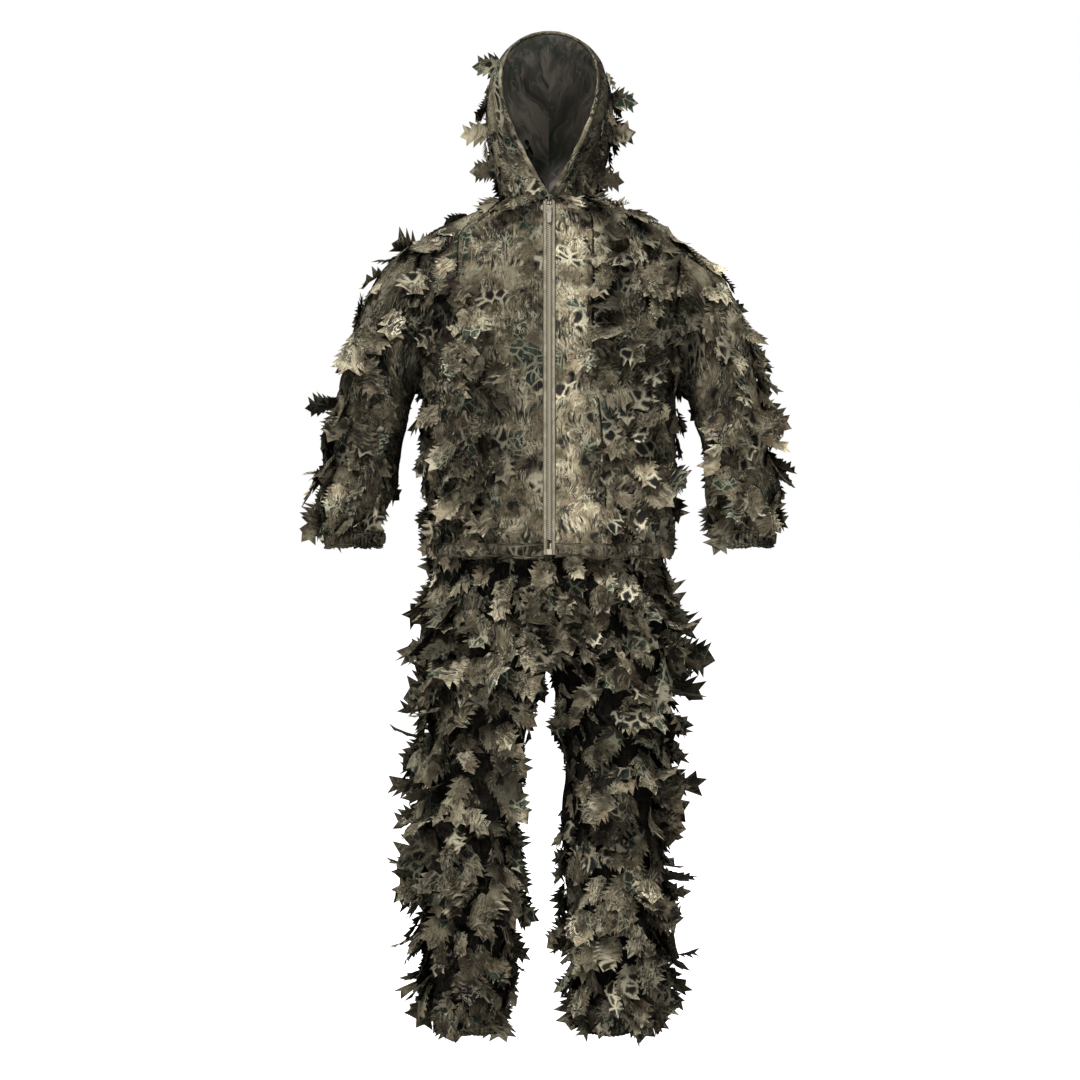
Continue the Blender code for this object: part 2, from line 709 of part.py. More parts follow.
def make_trousers(fabric, leaves, elastic, parent):
    waist_v = LEG_ROW * WAISTBAND_Z / CROTCH_Z
    hem_v = LEG_ROW * (HEM_Z - 0.030) / CROTCH_Z
    seat_rows = spread(hem_v, LEG_ROW * 0.93, 4)
    leg_rows = spread(0.012, 0.975, 10)
    rows = [waist_v, (waist_v + hem_v) / 2, *seat_rows, LEG_ROW * 0.985, LEG_ROW + 0.006]
    rows += [LEG_ROW + (1 - LEG_ROW) * v for v in leg_rows] + [0.999]
    columns = spread(0.0, 1 - EDGE, 8)
    for side, word in ((1, "left"), (-1, "right")):
        for facing, place in ((-1, "front"), (1, "back")):
            shell(f"trousers_{place}_{word}", trousers(side, facing), columns, rows,
                  -FABRIC, 0.0, fabric, parent, outward=side * facing, limit=leg_limit(side))
        round_leg = [u / 2 for u in columns[:-1]] + [0.5] + [1 - u / 2 for u in reversed(columns[1:-1])] + [1.0]
        shell(f"leg_leaf_layer_{word}", leg_round(side), round_leg, leg_rows, LEAF_GAP, LEAF_LAYER,
              leaves, parent, outward=-side, closed=True, limit=leg_limit(side))
        inner, outer = leg_x(side, ANKLE_TOP_Z)
        centre = ((inner + outer) / 2, 0, ANKLE_TOP_Z - GAP)
        frames = oval_frames(centre, abs(outer - inner) / 2 - 0.001, 0.061, 20)
        height = ANKLE_TOP_Z - ANKLE_BOTTOM_Z
        sweep(f"ankle_casing_{word}", frames, lambda _: casing_section(height), fabric, parent, closed=True)
        sweep(f"ankle_elastic_{word}", frames, lambda _: elastic_section(height), elastic, parent, closed=True)
    both = [-u for u in reversed(columns[1:])] + columns
    for facing, place in ((-1, "front"), (1, "back")):
        shell(f"seat_leaf_layer_{place}", whole_front(facing), both, seat_rows, 3 * LEAF_GAP, LEAF_LAYER,
              leaves, parent, outward=facing)
    frames = oval_frames((0, 0, 0), WAIST_HALF_WIDTH, WAIST_HALF_DEPTH, 28)
    height = -WAISTBAND_Z - GAP
    sweep("waistband_casing", frames, lambda _: casing_section(height), fabric, parent, closed=True)
    sweep("waist_elastic", frames, lambda _: elastic_section(height), elastic, parent, closed=True)


def leg_limit(side):
    def limit(point, _u, _v):
        shift = LEG_SHIFT * min(max((CROTCH_Z - point.z) / (CROTCH_Z - ANKLE_TOP_Z), 0.0) * 2.5, 1.0)
        point.x = side * max(side * (point.x - shift), 0.0002) + shift
        return point
    return limit


def main():
    clear_scene()
    fabric = material("printed_fabric", (0.105, 0.095, 0.068), 0.92)
    leaves = material("leaf_fabric", (0.165, 0.150, 0.108), 0.95)
    elastic = material("elastic", (0.030, 0.029, 0.027), 0.85)
    tape = material("zip_tape", (0.30, 0.26, 0.19), 0.85)
    teeth = material("zip_plastic", (0.34, 0.29, 0.21), 0.55)
    metal = material("zip_metal", (0.30, 0.26, 0.19), 0.42, 0.7)

    trousers_root = pivot("trousers_at_waist", (0, 0, 0))
    jacket_root = pivot("jacket_at_neck", (0, 0, NECK_FRONT_Z), trousers_root)
    hood_root = pivot("hood_at_nape", (0, NECK_HALF_DEPTH, NECK_BACK_Z), jacket_root)
    slider_root = pivot("slider_at_zip_top", zip_point(0), jacket_root)
    face = TAPE_THICKNESS / 2 + GAP + TOOTH_DEPTH + GAP + 0.0012
    hinge = zip_point(CHAIN_START + 0.0055) + zip_out() * (face + 0.0026)
    tab_root = pivot("tab_at_slider_ears", hinge, slider_root)

    make_trousers(fabric, leaves, elastic, trousers_root)
    make_jacket(fabric, leaves, elastic, jacket_root)
    make_hood(fabric, leaves, hood_root)
    make_zip(tape, teeth, jacket_root)
    make_slider(metal, slider_root, tab_root)
    for side, word in ((1, "left"), (-1, "right")):
        top = (side * (SHOULDER_HALF_WIDTH + GAP), 0, SHOULDER_Z + LEAF_LAYER)
        make_sleeve(side, word, fabric, leaves, elastic, pivot(f"sleeve_{word}_at_shoulder", top, jacket_root))


main()
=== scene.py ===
"""The looks of the leaf suit: printed cloth, cut leaves, gathered elastics, hood and zip."""

import math

import bpy
import numpy as np
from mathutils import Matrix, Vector


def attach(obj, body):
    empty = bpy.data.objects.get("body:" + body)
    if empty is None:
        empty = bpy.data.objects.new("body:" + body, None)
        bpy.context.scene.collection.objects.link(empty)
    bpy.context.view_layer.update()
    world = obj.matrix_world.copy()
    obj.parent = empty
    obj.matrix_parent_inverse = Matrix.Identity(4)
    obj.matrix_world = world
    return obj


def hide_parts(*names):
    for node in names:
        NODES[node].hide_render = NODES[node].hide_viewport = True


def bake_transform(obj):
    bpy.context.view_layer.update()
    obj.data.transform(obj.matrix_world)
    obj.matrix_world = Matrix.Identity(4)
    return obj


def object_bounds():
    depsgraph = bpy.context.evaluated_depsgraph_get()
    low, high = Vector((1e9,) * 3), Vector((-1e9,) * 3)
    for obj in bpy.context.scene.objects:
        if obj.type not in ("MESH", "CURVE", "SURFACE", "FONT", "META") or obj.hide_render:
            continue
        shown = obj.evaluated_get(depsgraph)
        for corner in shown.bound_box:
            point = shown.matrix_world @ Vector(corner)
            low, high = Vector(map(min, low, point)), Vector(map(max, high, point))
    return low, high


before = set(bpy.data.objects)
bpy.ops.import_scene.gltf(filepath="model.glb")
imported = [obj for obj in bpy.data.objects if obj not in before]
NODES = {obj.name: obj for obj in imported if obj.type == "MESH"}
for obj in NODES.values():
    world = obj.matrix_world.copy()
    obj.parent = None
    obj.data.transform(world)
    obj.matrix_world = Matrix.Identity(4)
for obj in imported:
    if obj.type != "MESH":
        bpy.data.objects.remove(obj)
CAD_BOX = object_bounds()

TAU = 2 * math.pi
SIDES = ((1, "left"), (-1, "right"))  # the wearer's left is +X

# The suit's driving dimensions, in metres
HEM_Z, ARMPIT_Z, SHOULDER_Z = -0.170, 0.105, 0.366
NECK_FRONT_Z, NECK_SIDE_Z, NECK_BACK_Z = 0.428, 0.434, 0.440
HEM_HALF, CHEST_HALF, SHOULDER_HALF = 0.213, 0.222, 0.232
ARMHOLE_DEPTH, NECK_HALF, NECK_DEPTH = 0.092, 0.080, 0.090
ZIP_BOTTOM_Y, ZIP_TOP_Y, BACK_Y, ZIP_HALF = -0.150, -0.100, 0.142, 0.0095
ARMPIT_ROW, SHOULDER_ROW = 0.46, 0.70
CUFF_TOP, CUFF_BOTTOM, CUFF_HALF, CUFF_DEPTH, CUFF_X = -0.146, -0.176, 0.048, 0.046, 0.345
FACE_HALF, HOOD_BACK_HALF, HOOD_SEAM, CHIN_HALF = 0.082, 0.018, 0.0028, 0.0075
WAIST_HALF, HIP_HALF, WAIST_DEPTH, HIP_DEPTH = 0.178, 0.207, 0.112, 0.130
WAISTBAND_Z, CROTCH_Z, ANKLE_TOP, ANKLE_BOTTOM = -0.036, -0.357, -0.998, -1.028
LEG_SHIFT, LEG_ROW = -0.014, 0.40


# Small maths ---------------------------------------------------------------------------------

def lerp(a, b, t):
    return a + (b - a) * t


def ramp(a, b, t):
    """0 below a, 1 above b, smooth between."""
    s = np.clip((t - a) / (b - a), 0, 1)
    return s * s * (3 - 2 * s)


def stack(*columns):
    return np.stack(np.broadcast_arrays(*columns), axis=-1).astype(float)


def paired(u, v):
    return np.broadcast_arrays(np.asarray(u, float), np.asarray(v, float))


def mirrored(left):
    """A line over the wearer's left half, carried on down the right half."""
    return np.concatenate([left, (left * np.array([-1, 1, 1]))[::-1][1:]])


def casing_rows(across, outer, inner):
    """A casing's grid: rows down its outer side, then up the inner one, and which of its points are inside."""
    a, r = np.meshgrid(across, outer + inner)
    return a, r, np.meshgrid(across, np.arange(len(outer + inner)) >= len(outer))[1]


def grooves(r, *rows):
    """1 at each stitched row of a casing, fading to 0 beside it."""
    return sum(np.exp(-((r - row) / 0.03) ** 2) for row in rows)


def unit(v):
    return v / np.maximum(np.linalg.norm(v, axis=-1, keepdims=True), 1e-9)


def along(stations, t):
    """A Catmull-Rom curve through equally spaced stations."""
    s = np.array(stations, float)
    last = len(s) - 1
    at = np.clip(t, 0, 1) * last
    k = np.minimum(at.astype(int), last - 1)
    f = (at - k)[..., None]
    p = [s[np.clip(k + d, 0, last)] for d in (-1, 0, 1, 2)]
    return 0.5 * (2 * p[1] + (p[2] - p[0]) * f + (2 * p[0] - 5 * p[1] + 4 * p[2] - p[3]) * f**2
                  + (3 * p[1] - p[0] - 3 * p[2] + p[3]) * f**3)


def hash_noise(p, seed=0):
    """Smooth value noise at 3-D points, from 0 to 1."""
    cell = np.floor(p).astype(np.int64)
    f = p - cell
    f = f * f * (3 - 2 * f)
    total = np.zeros(p.shape[:-1])
    for dx in (0, 1):
        for dy in (0, 1):
            for dz in (0, 1):
                n = (cell[..., 0] + dx) * 374761393 + (cell[..., 1] + dy) * 668265263
                n = (n + (cell[..., 2] + dz) * 2147483647 + seed * 974634777) & 0x7FFFFFFF
                n = ((n ^ (n >> 13)) * 1274126177) & 0x7FFFFFFF
                w = (f[..., 0] if dx else 1 - f[..., 0]) * (f[..., 1] if dy else 1 - f[..., 1])
                total += w * (f[..., 2] if dz else 1 - f[..., 2]) * ((n ^ (n >> 16)) & 0xFFFF) / 65535
    return total


# The suit's surfaces, u across and v up or down ---------------------------------------------------

def zip_y(z):
    return lerp(ZIP_BOTTOM_Y, ZIP_TOP_Y, (z - HEM_Z) / (NECK_FRONT_Z - HEM_Z))


def back_y(z):
    rise = np.maximum(0.0, (z - 0.16) / (NECK_BACK_Z - 0.16))
    return BACK_Y - (BACK_Y - NECK_DEPTH + 0.004) * rise**1.8


def side_edge(v, facing):
    low = ramp(0, 1, v / ARMPIT_ROW)
    turn = np.clip((v - ARMPIT_ROW) / (1 - ARMPIT_ROW), 0, 1) * math.pi
    share = (1 - np.cos(turn)) / 2
    above = v > ARMPIT_ROW
    x = np.where(above, lerp(CHEST_HALF, SHOULDER_HALF, share), lerp(HEM_HALF, CHEST_HALF, low))
    y = np.where(above, facing * ARMHOLE_DEPTH * np.sin(turn), 0.0)
    z = np.where(above, lerp(ARMPIT_Z, SHOULDER_Z, share), lerp(HEM_Z, ARMPIT_Z, v / ARMPIT_ROW))
    return x, y, z


def top_edge(u, facing):
    neck = 0.42
    turn = np.clip(u / neck, 0, 1) * math.pi / 2
    middle = NECK_FRONT_Z if facing < 0 else NECK_BACK_Z
    depth = -ZIP_TOP_Y if facing < 0 else NECK_DEPTH
    share = np.clip((u - neck) / (1 - neck), 0, 1)
    inner = u <= neck
    x = np.where(inner, NECK_HALF * np.sin(turn), lerp(NECK_HALF, SHOULDER_HALF, share))
    y = np.where(inner, facing * depth * np.cos(turn), 0.0)
    z = np.where(inner, lerp(middle, NECK_SIDE_Z, np.sin(turn)), lerp(NECK_SIDE_Z, SHOULDER_Z, share**1.3))
    return stack(x, y, z)


def torso(side, facing):
    def surface(u, v):
        u, v = paired(u, v)
        sign, a = np.where(u < 0, -1.0, 1.0), np.abs(u)
        vc = np.clip(v, 0, 1)
        middle_z = lerp(HEM_Z, NECK_FRONT_Z if facing < 0 else NECK_BACK_Z, v)
        middle_y = zip_y(middle_z) if facing < 0 else back_y(middle_z)
        ex, ey, ez = side_edge(vc, facing)
        turn = np.clip(a, 0, 1.02) * math.pi / 2
        x = ex * np.maximum(np.sin(turn), 0) ** 0.85
        y = ey + (middle_y - ey) * np.maximum(np.cos(turn), 0.0) ** 0.75
        row = stack(x, y, lerp(middle_z, ez, np.minimum(a, 1) ** 1.5))
        reach = np.clip((v - SHOULDER_ROW) / (1 - SHOULDER_ROW), 0, 1)
        share = (1 - np.sqrt(1 - reach**2))[..., None]
        row = row + (top_edge(a, facing) - row) * share
        row[..., 0] *= side * sign
        return row
    return surface


def front(side):
    """The front panel with u running from the zip opening's edge to the side."""
    inner = torso(1, -1)
    table_v = np.linspace(0, 1, 101)
    low, high = np.zeros(101), np.full(101, 0.3)
    for _ in range(24):
        middle = (low + high) / 2
        short = inner(middle, table_v)[..., 0] < ZIP_HALF
        low, high = np.where(short, middle, low), np.where(short, high, middle)
    body = torso(side, -1)

    def surface(u, v):
        start = np.interp(np.clip(v, 0, 1), table_v, high)
        return body(start + (1 - start) * u, v)
    return surface


def sleeve(side):
    s, c = SHOULDER_HALF, CHEST_HALF
    outer = [(s, SHOULDER_Z), (s + 0.058, 0.325), (s + 0.108, 0.235), (s + 0.137, 0.125), (s + 0.156, 0.020),
             (s + 0.170, -0.070), (CUFF_X + CUFF_HALF, CUFF_TOP)]
    inner = [(c, ARMPIT_Z), (c + 0.012, 0.096), (c + 0.022, 0.078), (c + 0.033, 0.040), (c + 0.045, -0.015),
             (c + 0.058, -0.080), (CUFF_X - CUFF_HALF, CUFF_TOP)]
    depths = [(ARMHOLE_DEPTH,), (0.094,), (0.092,), (0.088,), (0.083,), (0.078,), (CUFF_DEPTH,)]

    def surface(u, v):
        u, v = paired(u, v)
        top, bottom, depth = along(outer, v), along(inner, v), along(depths, v)[..., 0]
        turn = TAU * u
        share = (1 + np.cos(turn)) / 2
        return stack(side * lerp(bottom[..., 0], top[..., 0], share), -depth * np.sin(turn),
                     lerp(bottom[..., 1], top[..., 1], share))
    return surface


CROWN = [(-0.117, 0.713), (-0.040, 0.725), (0.047, 0.702), (0.103, 0.627), (0.108, 0.529), (0.088, 0.458)]


def hood(side):
    def surface(u, v):
        u, v = paired(u, v)
        turn = math.pi * np.clip(v, 0, 1)
        depth = np.where(np.cos(turn) > 0, -ZIP_TOP_Y + 0.002, NECK_DEPTH)
        low = stack(NECK_HALF * np.sin(turn) + CHIN_HALF * (1 - np.clip(v, 0, 1)) ** 6, -depth * np.cos(turn),
                    lerp(NECK_FRONT_Z, NECK_BACK_Z, (1 - np.cos(turn)) / 2) + HOOD_SEAM)
        high = along(CROWN, v)
        width = lerp(FACE_HALF, HOOD_BACK_HALF, np.clip(v, 0, 1) ** 0.9) * np.sqrt(1 - np.clip(v, 0, 1) ** 10)
        share = np.sin(math.pi * u / 2)
        x = low[..., 0] * np.cos(math.pi * u / 2) + width * np.sin(math.pi * u)
        return stack(side * x, lerp(low[..., 1], high[..., 0], share), lerp(low[..., 2], high[..., 1], share))
    return surface


def down_leg(z):
    """How far down the leg z is, from 0 to 1, and how far the leg has moved sideways there."""
    below = np.clip((CROTCH_Z - z) / (CROTCH_Z - ANKLE_TOP), 0, 1)
    return below, LEG_SHIFT * np.minimum(below * 2.5, 1.0)


def leg_x(side, z):
    below, shift = down_leg(z)
    inner = 0.034 * np.minimum(below / 0.30, 1.0) ** 0.8 + 0.022 * below
    outer = lerp(HIP_HALF, 0.204, below)
    gather = np.maximum(0.0, (below - 0.93) / 0.07) ** 1.6
    return side * (inner + 0.018 * gather) + shift, side * (outer - 0.026 * gather) + shift


def trousers(side, facing):
    def surface(u, v):
        u, v = paired(u, v)
        high = v <= LEG_ROW
        share = np.clip(v / LEG_ROW, 0, 1)
        edge = lerp(WAIST_HALF, HIP_HALF, ramp(0, 1, share * 1.5))
        split = 1 - np.sqrt(1 - share**8)
        centre_a, half_a = side * edge / 2 * split, side * edge * (1 - split / 2)
        depth_a = lerp(WAIST_DEPTH, HIP_DEPTH, ramp(0, 1, share * 1.4))
        below = np.clip((v - LEG_ROW) / (1 - LEG_ROW), 0, 1)
        z = np.where(high, CROTCH_Z * share, lerp(CROTCH_Z, ANKLE_TOP, below))
        inner, outer = leg_x(side, z)
        gather = np.maximum(0.0, (below - 0.93) / 0.07) ** 1.6
        depth_b = lerp(HIP_DEPTH, 0.092, below**0.6) - 0.030 * gather
        centre = np.where(high, centre_a, (inner + outer) / 2)
        half = np.where(high, half_a, (outer - inner) / 2)
        depth = np.where(high, depth_a, depth_b)
        start = np.where(high, np.arccos(np.clip(np.abs(centre_a) / np.abs(half_a), -1, 1)), 0.0)
        turn = lerp(start, math.pi, u)
        return stack(centre - half * np.cos(turn), facing * depth * np.sin(turn), z)
    return surface


def normals(surface, u, v, outward):
    e = 0.010
    n = np.cross(surface(u + e, v) - surface(u - e, v), surface(u, v + e) - surface(u, v - e))
    return unit(n) * outward


# Meshes --------------------------------------------------------------------------------------

def make_mesh(name, points, faces, cloth=None, tone=None, smooth=True):
    mesh = bpy.data.meshes.new(name)
    mesh.from_pydata(np.asarray(points, float).reshape(-1, 3).tolist(), [], [tuple(map(int, f)) for f in faces])
    if cloth is not None:
        a = mesh.attributes.new("cloth", "FLOAT_VECTOR", "POINT")
        a.data.foreach_set("vector", np.asarray(cloth, np.float32).reshape(-1))
    if tone is not None:
        a = mesh.attributes.new("tone", "FLOAT", "POINT")
        a.data.foreach_set("value", np.asarray(tone, np.float32).reshape(-1))
    mesh.update()
    if smooth:
        mesh.shade_smooth()
    obj = bpy.data.objects.new(name, mesh)
    bpy.context.scene.collection.objects.link(obj)
    return obj


def grid_faces(rows, columns, wrap=False, flip=False):
    j, i = np.meshgrid(np.arange(rows - 1), np.arange(columns if wrap else columns - 1), indexing="ij")
    k = (i + 1) % columns
    low, high = j * columns, (j + 1) * columns
    f = np.stack([low + i, low + k, high + k, high + i], -1).reshape(-1, 4)
    return f[:, ::-1] if flip else f


def measure(grid):
    """Flat coordinates, in metres, for a grid of points: distances run across each row and up each column."""
    across = np.linalg.norm(np.diff(grid, axis=1), axis=-1)
    x = np.concatenate([np.zeros((grid.shape[0], 1)), np.cumsum(across, axis=1)], axis=1)
    x -= x[:, x.shape[1] // 2: x.shape[1] // 2 + 1]
    up = np.linalg.norm(np.diff(grid, axis=0), axis=-1).mean(axis=1)
    y = np.concatenate([[0], np.cumsum(up)])[:, None] + np.zeros_like(x)
    return stack(x, y, 0)


def strip(name, grid, seed, tone, material=None, slot="printed_fabric", wrap=False, flip=False):
    """A grid of points as a narrow piece of cloth; seed picks its place in the print."""
    flat = measure(grid)
    flat[..., 2] = seed
    faces = grid_faces(*grid.shape[:2], wrap=wrap, flip=flip)
    return dress(make_mesh(name, grid, faces, flat, tone), material or PRINT, slot)


class Sheet:
    """Cloth over a surface, moved out by lift plus folds(u, v, point). Calling it gives places on the cloth."""

    def __init__(self, surface, us, vs, outward, lift=0.0, folds=None, limit=None):
        self.us, self.vs, self.outward = us, vs, outward
        u, v = np.meshgrid(us, vs)
        p = surface(u, v)
        rise = np.asarray(lift + (folds(u, v, p) if folds else 0.0), float)
        self.grid = p + normals(surface, u, v, outward) * np.broadcast_to(rise, u.shape)[..., None]
        if limit:
            self.grid = limit(self.grid)
        self.flat = measure(p)

    def __call__(self, u, v):
        u, v = paired(u, v)
        i = np.interp(u, self.us, np.arange(len(self.us)))
        j = np.interp(v, self.vs, np.arange(len(self.vs)))
        i0 = np.minimum(i.astype(int), len(self.us) - 2)
        j0 = np.minimum(j.astype(int), len(self.vs) - 2)
        fi, fj = (i - i0)[..., None], (j - j0)[..., None]
        g = self.grid
        return lerp(lerp(g[j0, i0], g[j0, i0 + 1], fi), lerp(g[j0 + 1, i0], g[j0 + 1, i0 + 1], fi), fj)

    def build(self, name, material, slot, seed=0.0, tone=1.0, growth=0.0, held=None):
        """The sheet as a mesh. With growth, it is let fall and fold as cloth, held at its edges."""
        self.flat[..., 2] = seed
        u, v = np.meshgrid(self.us, self.vs)
        shade = tone(u, v, self.grid) if callable(tone) else np.full(u.shape, tone)
        obj = make_mesh(name, self.grid, grid_faces(*u.shape), self.flat, shade * tone_of(self.grid))
        if growth:
            settle(obj, held(u, v).reshape(-1), growth)
            moved = np.empty(len(obj.data.vertices) * 3)
            obj.data.vertices.foreach_get("co", moved)
            self.grid = moved.reshape(self.grid.shape)
        return dress(obj, material, slot)


CARRIED = 0.16  # how strongly the shape inside carries cloth that isn't sewn down


FRAMES = 14  # how long each sheet is left to settle


def settle(obj, weights, growth):
    """Cloth simulation: the sheet grows a little and folds under its own weight, then the result is kept."""
    group = obj.vertex_groups.new(name="held")
    for level in (CARRIED, 0.25, 0.5, 1.0):
        chosen = np.where(np.abs(weights - level) < 0.01)[0]
        if len(chosen):
            group.add(chosen.tolist(), level, "REPLACE")
    cloth = obj.modifiers.new("cloth", "CLOTH")
    settings = cloth.settings
    settings.quality, settings.mass, settings.air_damping = 5, 0.12, 3.0
    settings.tension_stiffness = settings.compression_stiffness = 12
    settings.shear_stiffness, settings.bending_stiffness = 5, 0.25
    settings.vertex_group_mass, settings.shrink_min = "held", -growth
    settings.effector_weights.gravity = 0.5
    cloth.collision_settings.use_collision = False
    cloth.point_cache.frame_start, cloth.point_cache.frame_end = 1, FRAMES
    scene = bpy.context.scene
    for frame_number in range(1, FRAMES + 1):
        scene.frame_set(frame_number)
    shape = obj.evaluated_get(bpy.context.evaluated_depsgraph_get()).to_mesh()
    moved = np.empty(len(shape.vertices) * 3)
    shape.vertices.foreach_get("co", moved)
    obj.modifiers.remove(cloth)
    obj.vertex_groups.remove(group)
    obj.data.vertices.foreach_set("co", moved)
    obj.data.update()
    scene.frame_set(1)


def tone_of(p):
    """Cloth is a little lighter high on the suit than low down."""
    return 0.92 + 0.16 * ramp(-0.9, 0.35, p[..., 2])


def wave(u, v, count, seed):
    """Uneven pleats that run with v."""
    drift = hash_noise(stack(u * count * 0.35, v * 5, seed), int(seed))
    depth = 0.6 + 0.8 * hash_noise(stack(u * count * 0.5, v * 3, seed + 9), int(seed) + 3)
    return np.sin(u * count * TAU / 2 + 5.0 * drift) * depth


def rumple(p, scale, seed):
    """Soft dents and rises in any direction, from -1 to 1."""
    return 2 * hash_noise(p * scale, seed) - 1 + 0.5 * (2 * hash_noise(p * scale * 2.3, seed + 7) - 1)


# Materials -----------------------------------------------------------------------------------

class Graph:
    """A few short calls for building a material's nodes."""

    def __init__(self, name, roughness=0.95, sheen=0.0):
        self.material = bpy.data.materials.new(name)
        self.material.use_nodes = True
        self.tree = self.material.node_tree
        self.shader = self.tree.nodes["Principled BSDF"]
        for key, value in (("Roughness", roughness), ("Sheen Weight", sheen), ("Sheen Roughness", 0.5),
                           ("Specular IOR Level", 0.08)):
            self.shader.inputs[key].default_value = value

    def node(self, kind, inputs=None, **settings):
        made = self.tree.nodes.new(kind)
        for key, value in settings.items():
            setattr(made, key, value)
        for key, value in (inputs or {}).items():
            self.put(made.inputs[key], value)
        return made

    def put(self, socket, value):
        if isinstance(value, bpy.types.NodeSocket):
            self.tree.links.new(value, socket)
        else:
            socket.default_value = value

    def math(self, operation, a, b=0.5, c=None):
        made = self.node("ShaderNodeMath", {0: a, 1: b}, operation=operation)
        if c is not None:
            self.put(made.inputs[2], c)
        return made.outputs[0]

    def scaled(self, vector, scale=(1, 1, 1), turn=0.0, move=(0, 0, 0)):
        return self.node("ShaderNodeMapping", {"Vector": vector, "Scale": scale, "Rotation": (0, 0, turn),
                                               "Location": move}).outputs[0]

    def noise(self, vector, scale=1.0, detail=2.0, rough=0.5, distortion=0.0, output="Fac"):
        inputs = {"Vector": vector, "Scale": scale, "Detail": detail, "Roughness": rough, "Distortion": distortion}
        return self.node("ShaderNodeTexNoise", inputs).outputs[output]

    def wave(self, vector, scale, distortion, detail, direction):
        return self.node("ShaderNodeTexWave", {"Vector": vector, "Scale": scale, "Distortion": distortion,
                                               "Detail": detail}, bands_direction=direction).outputs["Fac"]

    def stops(self, value, points):
        made = self.node("ShaderNodeValToRGB", {"Fac": value})
        elements = made.color_ramp.elements
        while len(elements) < len(points):
            elements.new(0.5)
        for element, (at, colour) in zip(elements, points):
            element.position = at
            element.color = (*colour, 1) if hasattr(colour, "__len__") else (colour, colour, colour, 1)
        return made.outputs[0]

    def mix(self, factor, a, b):
        made = self.node("ShaderNodeMix", {0: factor}, data_type="RGBA", blend_type="MIX", clamp_factor=True)
        for socket, colour in ((made.inputs[6], a), (made.inputs[7], b)):
            self.put(socket, colour if isinstance(colour, bpy.types.NodeSocket) else (*colour, 1))
        return made.outputs[2]

    def paint(self, under, colour, value, points, where=None):
        """Colour over what is under it: as much as the stops of value say, and only where it is asked for."""
        share = self.stops(value, points)
        if where is not None:
            share = self.math("MULTIPLY", share, where)
        return self.mix(share, under, colour)

    def patches(self, cloth, move, scale, points):
        """Soft-edged areas of the cloth that hold one kind of mark."""
        return self.stops(self.noise(self.scaled(cloth, move=move), scale, 1, 0.5), points)

    def contour(self, vector, scale, turn, move, *noise):
        """Small along the thin lines where a noise crosses its middle."""
        line = self.noise(self.scaled(vector, scale, turn, move), 1.0, *noise)
        return self.math("ABSOLUTE", self.math("SUBTRACT", line, 0.5))

    def warped(self, cloth, scale, amount):
        """The cloth's own coordinates, pushed about by a soft noise."""
        inputs = {0: self.noise(cloth, scale, 2, 0.5, output="Color"), 1: amount, 2: cloth}
        return self.node("ShaderNodeVectorMath", inputs, operation="MULTIPLY_ADD").outputs[0]

    def lit(self, colour, level):
        return self.node("ShaderNodeVectorMath", {0: colour, "Scale": level}, operation="SCALE").outputs[0]

    def attribute(self, name, output):
        return self.node("ShaderNodeAttribute", attribute_name=name).outputs[output]

    def bump(self, height, strength, distance, under=None):
        made = self.node("ShaderNodeBump", {"Height": height, "Strength": strength, "Distance": distance})
        if under is not None:
            self.put(made.inputs["Normal"], under)
        return made.outputs[0]

    def finish(self, colour, normal=None):
        self.put(self.shader.inputs["Base Color"], colour)
        if normal is not None:
            self.put(self.shader.inputs["Normal"], normal)
        return self.material


CREAM = (0.50, 0.46, 0.33)
PALE = (0.36, 0.325, 0.225)
KHAKI = (0.27, 0.235, 0.155)
TAN = (0.185, 0.145, 0.095)
BROWN = (0.088, 0.064, 0.042)
OLIVE = (0.085, 0.084, 0.050)
GREEN = (0.018, 0.040, 0.028)
CHARCOAL = (0.014, 0.013, 0.013)


